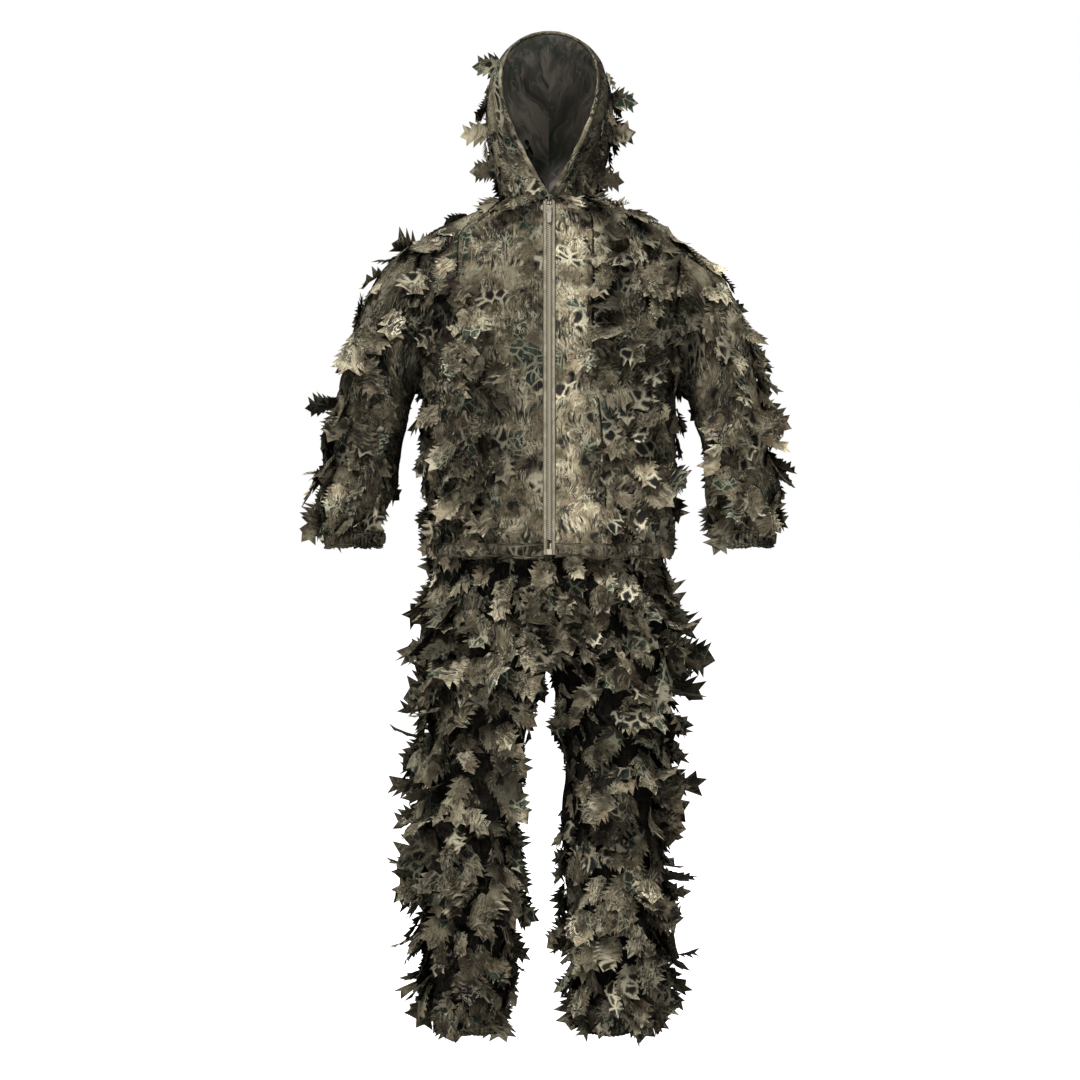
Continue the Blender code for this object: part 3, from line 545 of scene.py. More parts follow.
def woodland(name, light=1.0, patch=15.0, busy=1.0):
    """Woodland print: patches, bark streaks, grass strokes, sketched lines, and nets of pale veins."""
    g = Graph(name)
    cloth = g.attribute("cloth", "Vector")
    at = g.warped(cloth, 12, (0.055, 0.045, 0.0))
    colour = g.stops(g.noise(at, patch, 5, 0.66), [(0.35, CHARCOAL), (0.41, BROWN), (0.46, OLIVE), (0.51, TAN),
                                                   (0.56, KHAKI), (0.66, PALE)])
    second = g.noise(g.scaled(at, move=(7, 3, 2)), 26, 2, 0.55)
    colour = g.paint(colour, TAN, second, [(0.56, 0.0), (0.62, 0.8)])
    colour = g.paint(colour, CHARCOAL, second, [(0.35, 0.95 * busy), (0.42, 0.0)])
    green = g.stops(g.noise(g.scaled(at, move=(3, 9, 5)), 13, 2, 0.5), [(0.585, 0.0), (0.615, 0.88)])
    colour = g.mix(green, colour, GREEN)
    grain = g.noise(g.scaled(at, (230, 150, 1), 0.9, (6, 6, 6)), 1.0, 4, 0.7, 0.3)
    colour = g.paint(colour, CHARCOAL, grain, [(0.34, 0.55 * busy), (0.45, 0.0)])
    colour = g.paint(colour, CREAM, grain, [(0.58, 0.0), (0.72, 0.30)])
    for turn, where, seed in ((0.10, 0.0, 1), (0.95, 1.0, 4), (-0.8, 2.0, 8)):
        streak = g.noise(g.scaled(at, (250, 50, 1), turn, (seed, seed, seed)), 1.0, 2.5, 0.6, 0.6)
        bark = g.patches(cloth, (where, 4, seed), 19, [(0.555, 0.0), (0.60, 0.9 * busy)])
        colour = g.paint(colour, CHARCOAL, streak, [(0.38, 1.0), (0.45, 0.0)], bark)
        colour = g.paint(colour, CREAM, streak, [(0.56, 0.0), (0.62, 0.75)], bark)
    line = g.contour(at, (95, 60, 1), 0.3, (2, 2, 6), 2.0, 0.5, 1.2)
    grass = g.patches(cloth, (5, 1, 1), 20, [(0.50, 0.0), (0.60, 0.9)])
    colour = g.paint(colour, CREAM, line, [(0.012, 1.0), (0.035, 0.0)], grass)
    ink = g.contour(at, (120, 48, 1), -0.2, (9, 4, 2), 2.0, 0.55, 0.8)
    sketched = g.patches(cloth, (2, 5, 9), 16, [(0.42, 0.0), (0.52, 0.85)])
    colour = g.paint(colour, CHARCOAL, ink, [(0.010, 1.0), (0.028, 0.0)], sketched)
    cells = g.node("ShaderNodeTexVoronoi", {"Vector": at, "Scale": 52.0, "Randomness": 0.9},
                   feature="DISTANCE_TO_EDGE").outputs["Distance"]
    net = g.patches(cloth, (11, 6, 3), 13, [(0.60, 0.0), (0.64, 1.0)])
    colour = g.paint(colour, CHARCOAL, cells, [(0.16, 0.0), (0.21, 0.95)], net)
    colour = g.paint(colour, CREAM, cells, [(0.05, 0.85), (0.12, 0.0)], net)
    colour = g.paint(colour, PALE, cells, [(0.03, 0.8), (0.07, 0.0)], green)
    colour = g.paint(colour, CHARCOAL, g.noise(at, 210, 2, 0.6), [(0.32, 0.6), (0.40, 0.0)])
    broad = g.noise(g.scaled(cloth, move=(1, 8, 4)), 8.0, 2, 0.5)
    broad = g.stops(broad, [(0.36, 0.42), (0.46, 0.88), (0.62, 1.16)])
    tone = g.attribute("tone", "Fac")
    # Painted shade: back faces of the cloth and leaves are drawn at half brightness.
    back_side = g.node("ShaderNodeNewGeometry").outputs["Backfacing"]
    level = g.math("MULTIPLY", tone, g.math("MULTIPLY_ADD", back_side, -0.5, 1.0))
    lit = g.lit(colour, g.math("MULTIPLY", g.math("MULTIPLY", level, light), broad))
    weave = g.wave(cloth, 210.0, 1.5, 2.0, "DIAGONAL")
    fuzz = g.noise(cloth, 900, 2, 0.6)
    normal = g.bump(g.math("ADD", weave, fuzz), 0.35, 0.0004)
    return g.finish(lit, g.bump(g.noise(at, 42, 2, 0.5), 0.35, 0.003, normal))


def lining_material():
    """The print's faded wrong side: dark, with pale wavy streaks that run up the cloth."""
    g = Graph("hood_lining_cloth", 0.9)
    cloth = g.attribute("cloth", "Vector")
    at = g.warped(cloth, 13, (0.045, 0.03, 0.0))
    blot = g.noise(g.scaled(at, (24, 9, 1)), 1.0, 3, 0.55)
    colour = g.stops(blot, [(0.36, (0.13, 0.128, 0.110)), (0.50, (0.23, 0.215, 0.185)),
                            (0.62, (0.46, 0.41, 0.36))])
    green = g.patches(at, (4, 7, 2), 11, [(0.52, 0.0), (0.60, 0.6)])
    colour = g.mix(green, colour, (0.10, 0.15, 0.115))
    streak = g.noise(g.scaled(at, (70, 12, 1)), 1.0, 3, 0.6, 0.5)
    colour = g.paint(colour, (0.085, 0.080, 0.070), streak, [(0.34, 0.8), (0.46, 0.0)])
    colour = g.paint(colour, (0.52, 0.49, 0.42), streak, [(0.56, 0.0), (0.68, 0.7)])
    line = g.contour(at, (60, 18, 1), 0.1, (3, 1, 5), 1.0, 0.5, 0.8)
    colour = g.paint(colour, (0.55, 0.52, 0.45), line, [(0.004, 0.45), (0.022, 0.0)])
    lit = g.lit(colour, g.attribute("tone", "Fac"))
    return g.finish(lit, g.bump(g.noise(cloth, 800, 2, 0.6), 0.4, 0.0004))


def ribbed_material(name, dark, pale, rib):
    """Narrow woven goods, with ribs across and a fine thread."""
    g = Graph(name, 0.85, 0.1)
    cloth = g.attribute("cloth", "Vector")
    ribs = g.wave(cloth, rib, 0.6, 1.0, "X")
    thread = g.wave(cloth, rib * 1.7, 0.6, 1.0, "Y")
    mottle = g.noise(cloth, 60, 3, 0.6)
    colour = g.mix(g.stops(mottle, [(0.35, 0.0), (0.65, 1.0)]), dark, pale)
    colour = g.mix(g.math("MULTIPLY", ribs, 0.35), colour, dark)
    lit = g.lit(colour, g.attribute("tone", "Fac"))
    return g.finish(lit, g.bump(g.math("ADD", ribs, thread), 0.5, 0.0004))


def solid_material(name, colour, worn, roughness, metallic=0.0):
    """Moulded plastic or enamelled metal with rubbed edges."""
    g = Graph(name, roughness)
    wear = g.noise(g.node("ShaderNodeTexCoord").outputs["Object"], 420, 3, 0.6)
    edge = g.node("ShaderNodeNewGeometry").outputs["Pointiness"]
    edge = g.stops(edge, [(0.50, 0.0), (0.58, 1.0)])
    rubbed = g.math("MULTIPLY", edge, g.stops(wear, [(0.4, 0.3), (0.6, 1.0)]))
    g.shader.inputs["Metallic"].default_value = metallic
    g.shader.inputs["Specular IOR Level"].default_value = 0.5
    rough = g.stops(wear, [(0.35, roughness - 0.08), (0.65, roughness + 0.1)])
    g.put(g.shader.inputs["Roughness"], rough)
    return g.finish(g.mix(rubbed, colour, worn), g.bump(wear, 0.15, 0.0002))


PRINT = woodland("woodland_cloth", 1.02)
LEAF = woodland("leaf_cloth", 1.0, patch=14.0, busy=0.7)
# Painted shade: a dark copy of the print for the cloth under the leaves, so the gaps between leaves read as
# shadow.
SHADED_UNDER = woodland("shaded_under_cloth", 0.22)
LINING = lining_material()
ELASTIC = ribbed_material("gathered_elastic", (0.030, 0.029, 0.024), (0.085, 0.079, 0.060), 260)
TAPE = ribbed_material("zip_tape_weave", (0.26, 0.235, 0.168), (0.45, 0.405, 0.30), 420)
TEETH = solid_material("zip_tooth_plastic", (0.40, 0.355, 0.255), (0.55, 0.50, 0.38), 0.5)
METAL = solid_material("zip_slider_enamel", (0.24, 0.21, 0.15), (0.45, 0.42, 0.36), 0.42, 0.5)
THREAD = solid_material("thread", (0.10, 0.09, 0.065), (0.16, 0.14, 0.10), 0.8)


def dress(obj, material, slot):
    obj.data.materials.clear()
    obj.data.materials.append(material)
    return obj


# Leaves --------------------------------------------------------------------------------------

LEAF_GAP = 0.001  # how far a leaf's base stands off the cloth


def leaf_template(seed, teeth, width, reach=(0.085, 0.15)):
    """A cut leaf one unit long: five points across at each station, and pointed lobes that lean to the tip."""
    rng = np.random.default_rng(seed)
    s = np.concatenate([[0.0], np.linspace(0.10, 0.80, teeth) + rng.uniform(-0.02, 0.02, teeth)])
    half = width * np.maximum(np.sin(math.pi * np.clip(s, 0.06, 1) ** 0.72), 0) ** 0.75
    half = half * (1 + 0.16 * np.cos(s * rng.uniform(9, 14) + rng.uniform(0, 6)))
    across = np.array([-1.0, -0.5, 0.0, 0.5, 1.0])
    rows = np.stack([across[None] * half[:, None], np.broadcast_to(s[:, None], (len(s), 5))], -1).reshape(-1, 2)
    tips, faces = [], []
    last = len(s) - 1
    for k in range(last):
        for i in range(4):
            a = 5 * k + i
            faces.append((a, a + 1, a + 6, a + 5))
        for side, column in ((-1, 0), (1, 4)):
            out = rng.uniform(*reach) * (1.0 if k else 0.6)
            at = lerp(s[k], s[k + 1], 0.95) + rng.uniform(0.0, 0.05)
            tips.append((side * (max(half[k], half[k + 1]) + out), at))
            corner = len(rows) + len(tips) - 1
            tooth = (5 * k + column, 5 * (k + 1) + column, corner)
            faces.append(tooth if side < 0 else tooth[::-1])
    tips.append((rng.uniform(-0.03, 0.03), 1.0))
    end = len(rows) + len(tips) - 1
    faces += [(5 * last + i, 5 * last + i + 1, end) for i in range(4)]
    return np.concatenate([rows, np.array(tips)]), faces


TEMPLATES = [leaf_template(*each) for each in (
    (3, 5, 0.27), (5, 6, 0.28), (8, 4, 0.26, (0.12, 0.19)), (13, 7, 0.25), (21, 5, 0.26, (0.11, 0.18)),
    (34, 4, 0.24, (0.13, 0.20)), (55, 6, 0.27, (0.09, 0.16)))]


def scatter(surface, us, vs, count, rng, keep=None):
    """Evenly spread (u, v) places over a surface: many are tried, and each choice stays clear of the rest."""
    u, v = np.meshgrid(np.linspace(*us, 60), np.linspace(*vs, 60))
    p = surface(u, v)
    area = np.linalg.norm(np.cross(p[1:, :-1] - p[:-1, :-1], p[:-1, 1:] - p[:-1, :-1]), axis=-1)
    chance = (area / area.sum()).reshape(-1)
    pick = rng.choice(len(chance), count * 7, p=chance)
    j, i = np.divmod(pick, 59)
    cu = lerp(us[0], us[1], (i + rng.random(len(i))) / 59)
    cv = lerp(vs[0], vs[1], (j + rng.random(len(j))) / 59)
    if keep is not None:
        inside = keep(cu, cv)
        cu, cv = cu[inside], cv[inside]
    q = surface(cu, cv)
    gap = 0.86 * math.sqrt(area.sum() / count)
    chosen = []
    for k in range(len(q)):
        if not chosen or np.min(np.sum((q[chosen] - q[k]) ** 2, -1)) > gap * gap:
            chosen.append(k)
        if len(chosen) >= count:
            break
    return cu[chosen], cv[chosen]


def build_leaves(name, base, normal, direction, rng, length=(0.050, 0.080), lift=(0.03, 0.75), curl=(-0.8, 0.9),
                 calm=None, light=1.0):
    """One mesh of many leaves: each grows from base along direction, leaning off its normal."""
    count = len(base)
    kinds = rng.integers(0, len(TEMPLATES), count)
    down = unit(direction - normal * np.sum(direction * normal, -1, keepdims=True))
    side = np.cross(down, normal)
    points, faces, cloth, tones, total = [], [], [], [], 0
    ease = np.ones(count) if calm is None else calm(base, normal)
    size = rng.uniform(*length, count) * (0.72 + 0.28 * ease)
    first = lift[0] + (lift[1] - lift[0]) * rng.random(count) ** 2.0 * ease
    bend = rng.uniform(*curl, count) * (0.35 + 0.65 * ease)
    bend = np.where(np.abs(bend) < 0.05, 0.05, bend)
    cup = rng.uniform(-1.0, 1.3, count)
    twist = rng.uniform(-0.6, 0.6, count)
    level = (light(base) if callable(light) else light) * np.exp(rng.normal(-0.03, 0.46, count)).clip(0.36, 2.0)
    for k in range(count):
        template, shape = TEMPLATES[kinds[k]]
        x, s = template[:, 0] * rng.uniform(0.85, 1.2), template[:, 1]
        angle = first[k] + bend[k] * s
        y = (np.sin(angle) - np.sin(first[k])) / bend[k]
        z = (np.cos(first[k]) - np.cos(angle)) / bend[k]
        off = cup[k] * x * x + twist[k] * x * s + 0.03 * np.sin(11 * x + 8 * s + k)
        y, z = y - np.sin(angle) * off, z + np.cos(angle) * off
        local = stack(x, y, np.maximum(z, -0.04)) * size[k]
        points.append(base[k] + local[:, :1] * side[k] + local[:, 1:2] * down[k] + local[:, 2:] * normal[k])
        turn = rng.normal(0, 0.5)
        c, t = math.cos(turn), math.sin(turn)
        flat = template * size[k] @ np.array([[c, t], [-t, c]])
        move = rng.uniform(-3, 3, 3)
        cloth.append(np.column_stack([flat + move[:2], np.full(len(flat), move[2])]))
        # Painted shade at each leaf's base and painted highlight towards its tip: the tone runs from 0.62 to 1.17
        # along the leaf.
        tones.append(level[k] * (0.62 + 0.55 * s))
        faces += [tuple(i + total for i in face) for face in shape]
        total += len(template)
    p = limit_box(np.concatenate(points))
    obj = make_mesh(name, p, faces, np.concatenate(cloth), np.concatenate(tones))
    return dress(obj, LEAF, "leaf_fabric")


def limit_box(p):
    """Leaves that would stand out too far bend back towards the suit."""
    low, high = np.array(CAD_BOX[0]), np.array(CAD_BOX[1])
    spare = 0.028 * (high - low) + 0.009
    spare[2] = min(spare[2], 0.045)
    middle, reach = (low + high) / 2, (high - low) / 2 + spare
    room = 0.022
    over = np.maximum(np.abs(p - middle) - (reach - room), 0)
    eased = reach - room + room * (1 - np.exp(-over / room))
    return np.where(over > 0, middle + np.sign(p - middle) * eased, p)


def leaves_on(name, surface, outward, us, vs, count, seed, keep=None, spread=0.62, spots=(),
              **shape):
    """Leaves over part of a surface, plus one at each spot (u, v, turn from straight down)."""
    rng = np.random.default_rng(seed)
    u, v = scatter(surface, us, vs, count, rng, keep)
    turn = rng.normal(0, spread, len(u))
    if len(spots):
        u, v, turn = (np.concatenate([a, [spot[k] for spot in spots]]) for k, a in enumerate((u, v, turn)))
    p, n = surface(u, v), normals(surface, u, v, outward)
    down = np.array([0.0, 0.0, -1.0]) - n * (-n[:, 2:3])
    flat = np.linalg.norm(down, axis=-1, keepdims=True) < 0.35
    outward_flat = unit(stack(p[:, 0], p[:, 1] * 0.5, 0))
    down = unit(np.where(flat, outward_flat, down))
    side = np.cross(n, down)
    direction = np.cos(turn)[:, None] * down + np.sin(turn)[:, None] * side
    return build_leaves(name, p + n * LEAF_GAP, n, direction, rng, **shape)


# Trousers ------------------------------------------------------------------------------------

def trouser_folds(side, facing):
    def folds(u, v, p):
        ankle = ramp(0.80, 1.0, v)
        leg = ramp(0.1, 0.5, v)
        drape = 0.0065 * leg * wave(u, v, 5, 3 + side + facing)
        return 0.004 * ankle * wave(u, v, 16, 3 + side + facing) + drape * (1 - ankle) \
            + 0.005 * rumple(p, 12, 5) * (1 - ankle) - 0.004
    return folds


def own_half(side):
    """Keeps a leg's cloth on its own side of the plane between the legs."""
    def limit(q):
        below, shift = down_leg(q[..., 2])
        gap = 0.0008 * ramp(0.0, 0.1, below)
        q[..., 0] = side * np.maximum(side * (q[..., 0] - shift), gap) + shift
        return q
    return limit


def edges_held(row_ends=(0.0, 1.0), column_ends=(0.0, 1.0), band=0.04):
    """Weights for a sheet that is sewn along its edges."""
    def held(u, v):
        near_u = np.minimum(np.abs(u - column_ends[0]), np.abs(u - column_ends[1]))
        near_v = np.minimum(np.abs(v - row_ends[0]), np.abs(v - row_ends[1]))
        near = np.minimum(near_u, near_v)
        return np.where(near < 1e-6, 1.0, np.where(near < band * 0.5, 0.5, np.where(near < band, 0.25, CARRIED)))
    return held


def leg_calm(side):
    """Leaves lie flatter where the legs face each other and down at the ankles."""
    def calm(p, n):
        facing_in = ramp(0.15, 0.75, -side * n[:, 0]) * (1 - 0.6 * ramp(-0.56, -0.70, p[:, 2]))
        proud = 1 + 0.7 * ramp(0.35, 0.9, side * n[:, 0]) * ramp(-0.22, -0.34, p[:, 2])
        low, high = 1 - 0.25 * ramp(-0.88, -0.98, p[:, 2]), ramp(-0.17, -0.26, p[:, 2])
        return (1 - 0.85 * facing_in) * low * high * proud
    return calm


def make_trousers():
    for side, word in SIDES:
        for facing, place in ((-1, "front"), (1, "back")):
            make_trouser_panel(side, word, facing, place)
        inner, outer = leg_x(side, np.array(ANKLE_TOP))
        cuff = gathered_ring(f"ankle_{word}", ((inner + outer) / 2, 0, ANKLE_TOP), abs(outer - inner) / 2 + 0.001,
                             0.063, ANKLE_TOP - ANKLE_BOTTOM, 44, 5 + side, 0.42, 0.009)
        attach(cuff, "trousers")
        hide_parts(f"ankle_casing_{word}", f"ankle_elastic_{word}")
    band = gathered_ring("waistband", (0, 0, 0), WAIST_HALF + 0.001, WAIST_DEPTH + 0.001, -WAISTBAND_Z, 96, 9)
    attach(band, "trousers")
    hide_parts("waistband_casing", "waist_elastic")


def make_trouser_panel(side, word, facing, place):
    """One panel from waist to ankle, with its leaves in three lots."""
    waist_v = LEG_ROW * (WAISTBAND_Z + 0.012) / CROTCH_Z
    seam_v = LEG_ROW * (HEM_Z + 0.012) / CROTCH_Z
    sheet = Sheet(trousers(side, facing), np.linspace(0, 1, 60), np.linspace(waist_v, 1, 150), side * facing,
                  folds=trouser_folds(side, facing), limit=own_half(side))
    # Painted shade: the leg cloth under the leaves is drawn at 0.30 below the jacket's hem, full above it.
    cloth = sheet.build(f"trousers_cloth_{place}_{word}", SHADED_UNDER, "printed_fabric", side + 3 * facing,
                        tone=lambda u, v, p: 0.30 + 0.70 * ramp(-0.20, -0.14, p[..., 2]),
                        growth=0.06, held=edges_held((waist_v, 1.0)))
    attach(cloth, "trousers")
    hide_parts(f"trousers_{place}_{word}")
    for part, rows, count in (("seat", (seam_v, LEG_ROW), 78), ("upper", (LEG_ROW, 0.70), 112),
                              ("lower", (0.70, 0.995), 105)):
        lot = leaves_on(f"{part}_leaves_{place}_{word}", sheet, side * facing, (0.0, 1.0), rows, count,
                        31 + facing * 3 + side + count, calm=leg_calm(side), light=0.86,
                        spots=trouser_spots(side, part, facing))
        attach(lot, "trousers")
        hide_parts(f"seat_leaf_layer_{place}" if part == "seat" else f"leg_leaf_layer_{word}")


def trouser_spots(side, part, facing):
    """Leaves that stand proud at the side seams, and those that hang over the ankle's gathers."""
    rng = np.random.default_rng(77 + side + len(part) + 10 * facing)
    rows = {"seat": (0.24, 0.30, 0.36), "upper": (0.43, 0.48, 0.53, 0.58, 0.63, 0.68),
            "lower": (0.72, 0.77, 0.82, 0.86, 0.90, 0.94)}[part]
    spots = [(0.985, row + rng.uniform(-0.01, 0.01), side * rng.uniform(-0.9, -0.2)) for row in rows]
    if part == "lower":
        spots += [(u, rng.uniform(0.955, 0.985), rng.uniform(-0.6, 0.6)) for u in np.linspace(0.04, 0.96, 11)]
        spots += [(0.03, row, side * rng.uniform(0.4, 1.0)) for row in (0.80, 0.87, 0.93)]
    return spots


def gathered_ring(name, centre, half_width, half_depth, height, pleats, seed, tone=1.0, crumple=0.0):
    """A casing drawn up by its elastic: pleats all round, two stitched grooves and a rolled lower edge."""
    around = pleats * 8
    t = np.linspace(0, 1, around, endpoint=False)
    tt, rr, inside = casing_rows(t, (0.0, 0.06, 0.12, 0.2, 0.3, 0.42, 0.5, 0.58, 0.7, 0.8, 0.88, 0.94, 1.0),
                                 (1.0, 0.94, 0.8, 0.5, 0.2))
    turn = TAU * tt
    c, s = np.cos(turn), np.sin(turn)
    out = unit(stack(c / half_width, s / half_depth))
    pleat = np.abs(np.sin(turn * pleats / 2 + 1.4 * np.sin(turn * 5 + seed))) ** 0.8
    size = 0.0016 + 0.0012 * hash_noise(stack(tt * 37, 0, seed), seed)
    groove = grooves(rr, 0.12, 0.88)
    bulge = 0.0022 * np.sin(np.clip(rr, 0, 1) * math.pi)
    place = stack(c * 3.1, s * 3.1, rr * 1.7 + seed)
    lumps = crumple * (hash_noise(place, seed) + 0.6 * hash_noise(place * 2.7, seed + 5) - 0.8)
    rise = np.where(inside, -0.0040, bulge + size * pleat * 2.0 * (1 - 0.6 * groove) - 0.0008 * groove + lumps)
    sag = hash_noise(stack(c * 2.3, s * 2.3, seed), seed + 2) - 0.6
    drop = 0.9 * crumple * sag * np.clip(rr, 0, 1)
    p = stack(centre[0] + half_width * c + out[..., 0] * rise, centre[1] + half_depth * s + out[..., 1] * rise,
              centre[2] - rr * height + 0.0006 * np.sin(turn * pleats + rr * 4) - drop)
    material, slot = (PRINT, "printed_fabric") if crumple else (ELASTIC, "elastic")
    # Painted shade in the pleats' valleys: the tone runs from 0.75 in the valleys to 1.10 on the crests.
    return strip(name, p, seed, tone * (0.75 + 0.35 * pleat), material, slot, wrap=True, flip=True)


# Jacket --------------------------------------------------------------------------------------

LEAF_EDGE = {  # heights, then distances from the zip
    -1: ((-0.18, -0.05, 0.05, 0.16, 0.24, 0.34, 0.42), (0.105, 0.088, 0.080, 0.095, 0.135, 0.165, 0.165)),
    1: ((-0.18, -0.05, 0.05, 0.16, 0.30, 0.42), (0.100, 0.096, 0.088, 0.080, 0.076, 0.084))}


def leaf_edge(side, z):
    """How far out from the zip the leaf cloth starts, on each side and at each height."""
    return np.interp(z, *LEAF_EDGE[side])


def front_folds(side):
    def folds(u, v, p):
        hem = 1 - ramp(0.0, 0.16, v)
        waist = 1 - ramp(0.1, 0.6, v)
        drape = 0.0050 * waist * wave(u, v, 6, 3 + side)
        gather = 0.0045 * hem * wave(u, v, 20, 8 + side)
        edge = ramp(0.0, 0.05, u)
        slant = p * np.array([1.0, 1.0, 0.55]) + p[..., 2:3] * np.array([side * 0.35, 0.0, 0.0])
        deep = 0.0055 * ramp(0.10, 0.35, u) * rumple(slant, 13, 17)
        return (drape + gather + deep + 0.003 * rumple(p, 15, 21)) * (0.15 + 0.85 * edge) - 0.003
    return folds


def back_folds(u, v, p):
    hem = 1 - ramp(0.0, 0.16, v)
    return 0.0045 * (1 - ramp(0.1, 0.6, v)) * wave(u, v, 12, 4) + 0.0045 * hem * wave(u, v, 36, 6) \
        + 0.003 * rumple(p, 13, 2) - 0.002


def armhole_shade(p):
    """Painted shade: cloth and leaves are drawn darker in the fold between sleeve and body, where shadow falls."""
    fold = 1 - ramp(0.012, 0.050, np.abs(np.abs(p[..., 0]) - lerp(0.262, 0.225, ramp(-0.05, 0.12, p[..., 2]))))
    return 1 - 0.62 * fold * (1 - ramp(0.24, 0.34, p[..., 2])) * ramp(-0.12, 0.02, p[..., 2])


def body_calm(p, n):
    """Leaves lie flat where they would break the outline: along the shoulders and under the arms."""
    facing = ramp(0.55, 0.9, np.abs(n[:, 1]))
    arm = ramp(0.150, 0.205, np.abs(p[:, 0])) * (1 - ramp(0.16, 0.30, p[:, 2]))
    top = ramp(0.26, 0.36, p[:, 2]) * (1 - 0.6 * facing)
    return (1 - 0.88 * arm) * (1 - 0.80 * top) * (1 - 0.45 * ramp(-0.05, -0.15, p[:, 2]))


def make_jacket():
    rows = np.concatenate([np.linspace(0, 0.9, 110), 0.9 + 0.1 * np.sin(np.linspace(0, 1, 30)[1:] * math.pi / 2)])
    for side, word in SIDES:
        make_front(side, word, rows)
    sheet = Sheet(torso(1, 1), np.linspace(-1, 1, 140), rows, -1, folds=back_folds)
    # Painted shade: the back's cloth is drawn at half brightness under its leaves.
    cloth = sheet.build("jacket_cloth_back", PRINT, "printed_fabric", 6.0, tone=0.5, growth=0.06,
                        held=edges_held(column_ends=(-1.0, 1.0), band=0.06))
    lot = leaves_on("jacket_leaves_back", sheet, -1, (-0.99, 0.99), (0.01, 0.985), 270, 71, calm=body_calm,
                    lift=(0.03, 0.65))
    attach(lot, "jacket")
    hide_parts("jacket_leaf_layer_back")
    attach(cloth, "jacket")
    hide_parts("jacket_back")


def make_front(side, word, rows):
    """One front panel: smooth print beside the zip, and painted shade on the cloth under the leaves further out.
    """
    sheet = Sheet(front(side), np.linspace(0, 1, 90), rows, side, folds=front_folds(side))

    # Painted shade: the cloth is darker where the leaves cover it, and in the armhole's fold.
    def tone(u, v, p):
        out = ramp(-0.015, 0.02, np.abs(p[..., 0]) - leaf_edge(side, p[..., 2]))
        return (1.46 - 0.98 * out) * armhole_shade(p)

    def leafy(u, v):
        p = sheet(u, v)
        return np.abs(p[:, 0]) > leaf_edge(side, p[:, 2]) + 0.004
    cloth = sheet.build(f"jacket_cloth_front_{word}", PRINT, "printed_fabric", 2.0 + side, tone=tone, growth=0.06,
                        held=edges_held(band=0.05))
    lot = leaves_on(f"jacket_leaves_front_{word}", sheet, side, (0, 0.99), (0.01, 0.985), 160, 51 + side,
                    keep=leafy, calm=body_calm, lift=(0.05, 0.72), curl=(-0.9, 0.9), spread=0.85,
                    light=lambda q: 0.98 * armhole_shade(q))
    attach(lot, "jacket")
    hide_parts(f"jacket_leaf_layer_front_{word}")
    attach(cloth, "jacket")
    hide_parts(f"jacket_front_{word}")
    seams = make_front_seams(side, word, sheet) + make_zip_stitching(side, word, sheet)


def stitches(name, places, tangents, outs):
    """Short thread stitches on the jacket, each a small rounded bar."""
    count = len(places)
    side = np.cross(tangents, outs)
    ring = [(-0.5, 0, 0), (-0.3, 0.5, 0.5), (0.3, 0.5, 0.5), (0.5, 0, 0), (-0.3, -0.5, 0.5), (0.3, -0.5, 0.5),
            (-0.3, 0, 1.0), (0.3, 0, 1.0)]
    size = np.array([0.0024, 0.0007, 0.0006])
    faces = [(0, 1, 6), (1, 2, 7, 6), (2, 3, 7), (0, 6, 4), (4, 6, 7, 5), (5, 7, 3)]
    local = np.array(ring) * size
    p = places[:, None] + local[None, :, :1] * tangents[:, None] + local[None, :, 1:2] * side[:, None] \
        + local[None, :, 2:] * outs[:, None]
    every = [tuple(8 * k + i for i in f) for k in range(count) for f in faces]
    obj = dress(make_mesh(name, p, every), THREAD, "printed_fabric")
    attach(obj, "jacket")
    return obj


def make_zip_stitching(side, word, sheet):
    """Two rows of stitches that hold the zip's tape to the front."""
    made = []
    for at, label in ((0.022, "inner"), (0.040, "outer")):
        v = np.linspace(0.01, 0.985, 165)
        u = np.full(len(v), at)
        p, n = sheet(u, v), normals(sheet, u, v, side)
        made.append(stitches(f"zip_stitching_{label}_{word}", p + n * 0.0003, unit(np.gradient(p, axis=0)), n))
    return made


# The front seams' x and z: one turns down from the yoke, the other runs straight to the hem
SEAM_LINE = {-1: ((-0.098, 0.414), (-0.128, 0.394), (-0.150, 0.376), (-0.157, 0.350), (-0.158, 0.300),
                  (-0.157, 0.235)),
             1: ((0.066, 0.410), (0.074, 0.385), (0.075, 0.300), (0.075, 0.190), (0.078, 0.120), (0.088, 0.040),
                 (0.094, -0.060), (0.098, -0.158))}


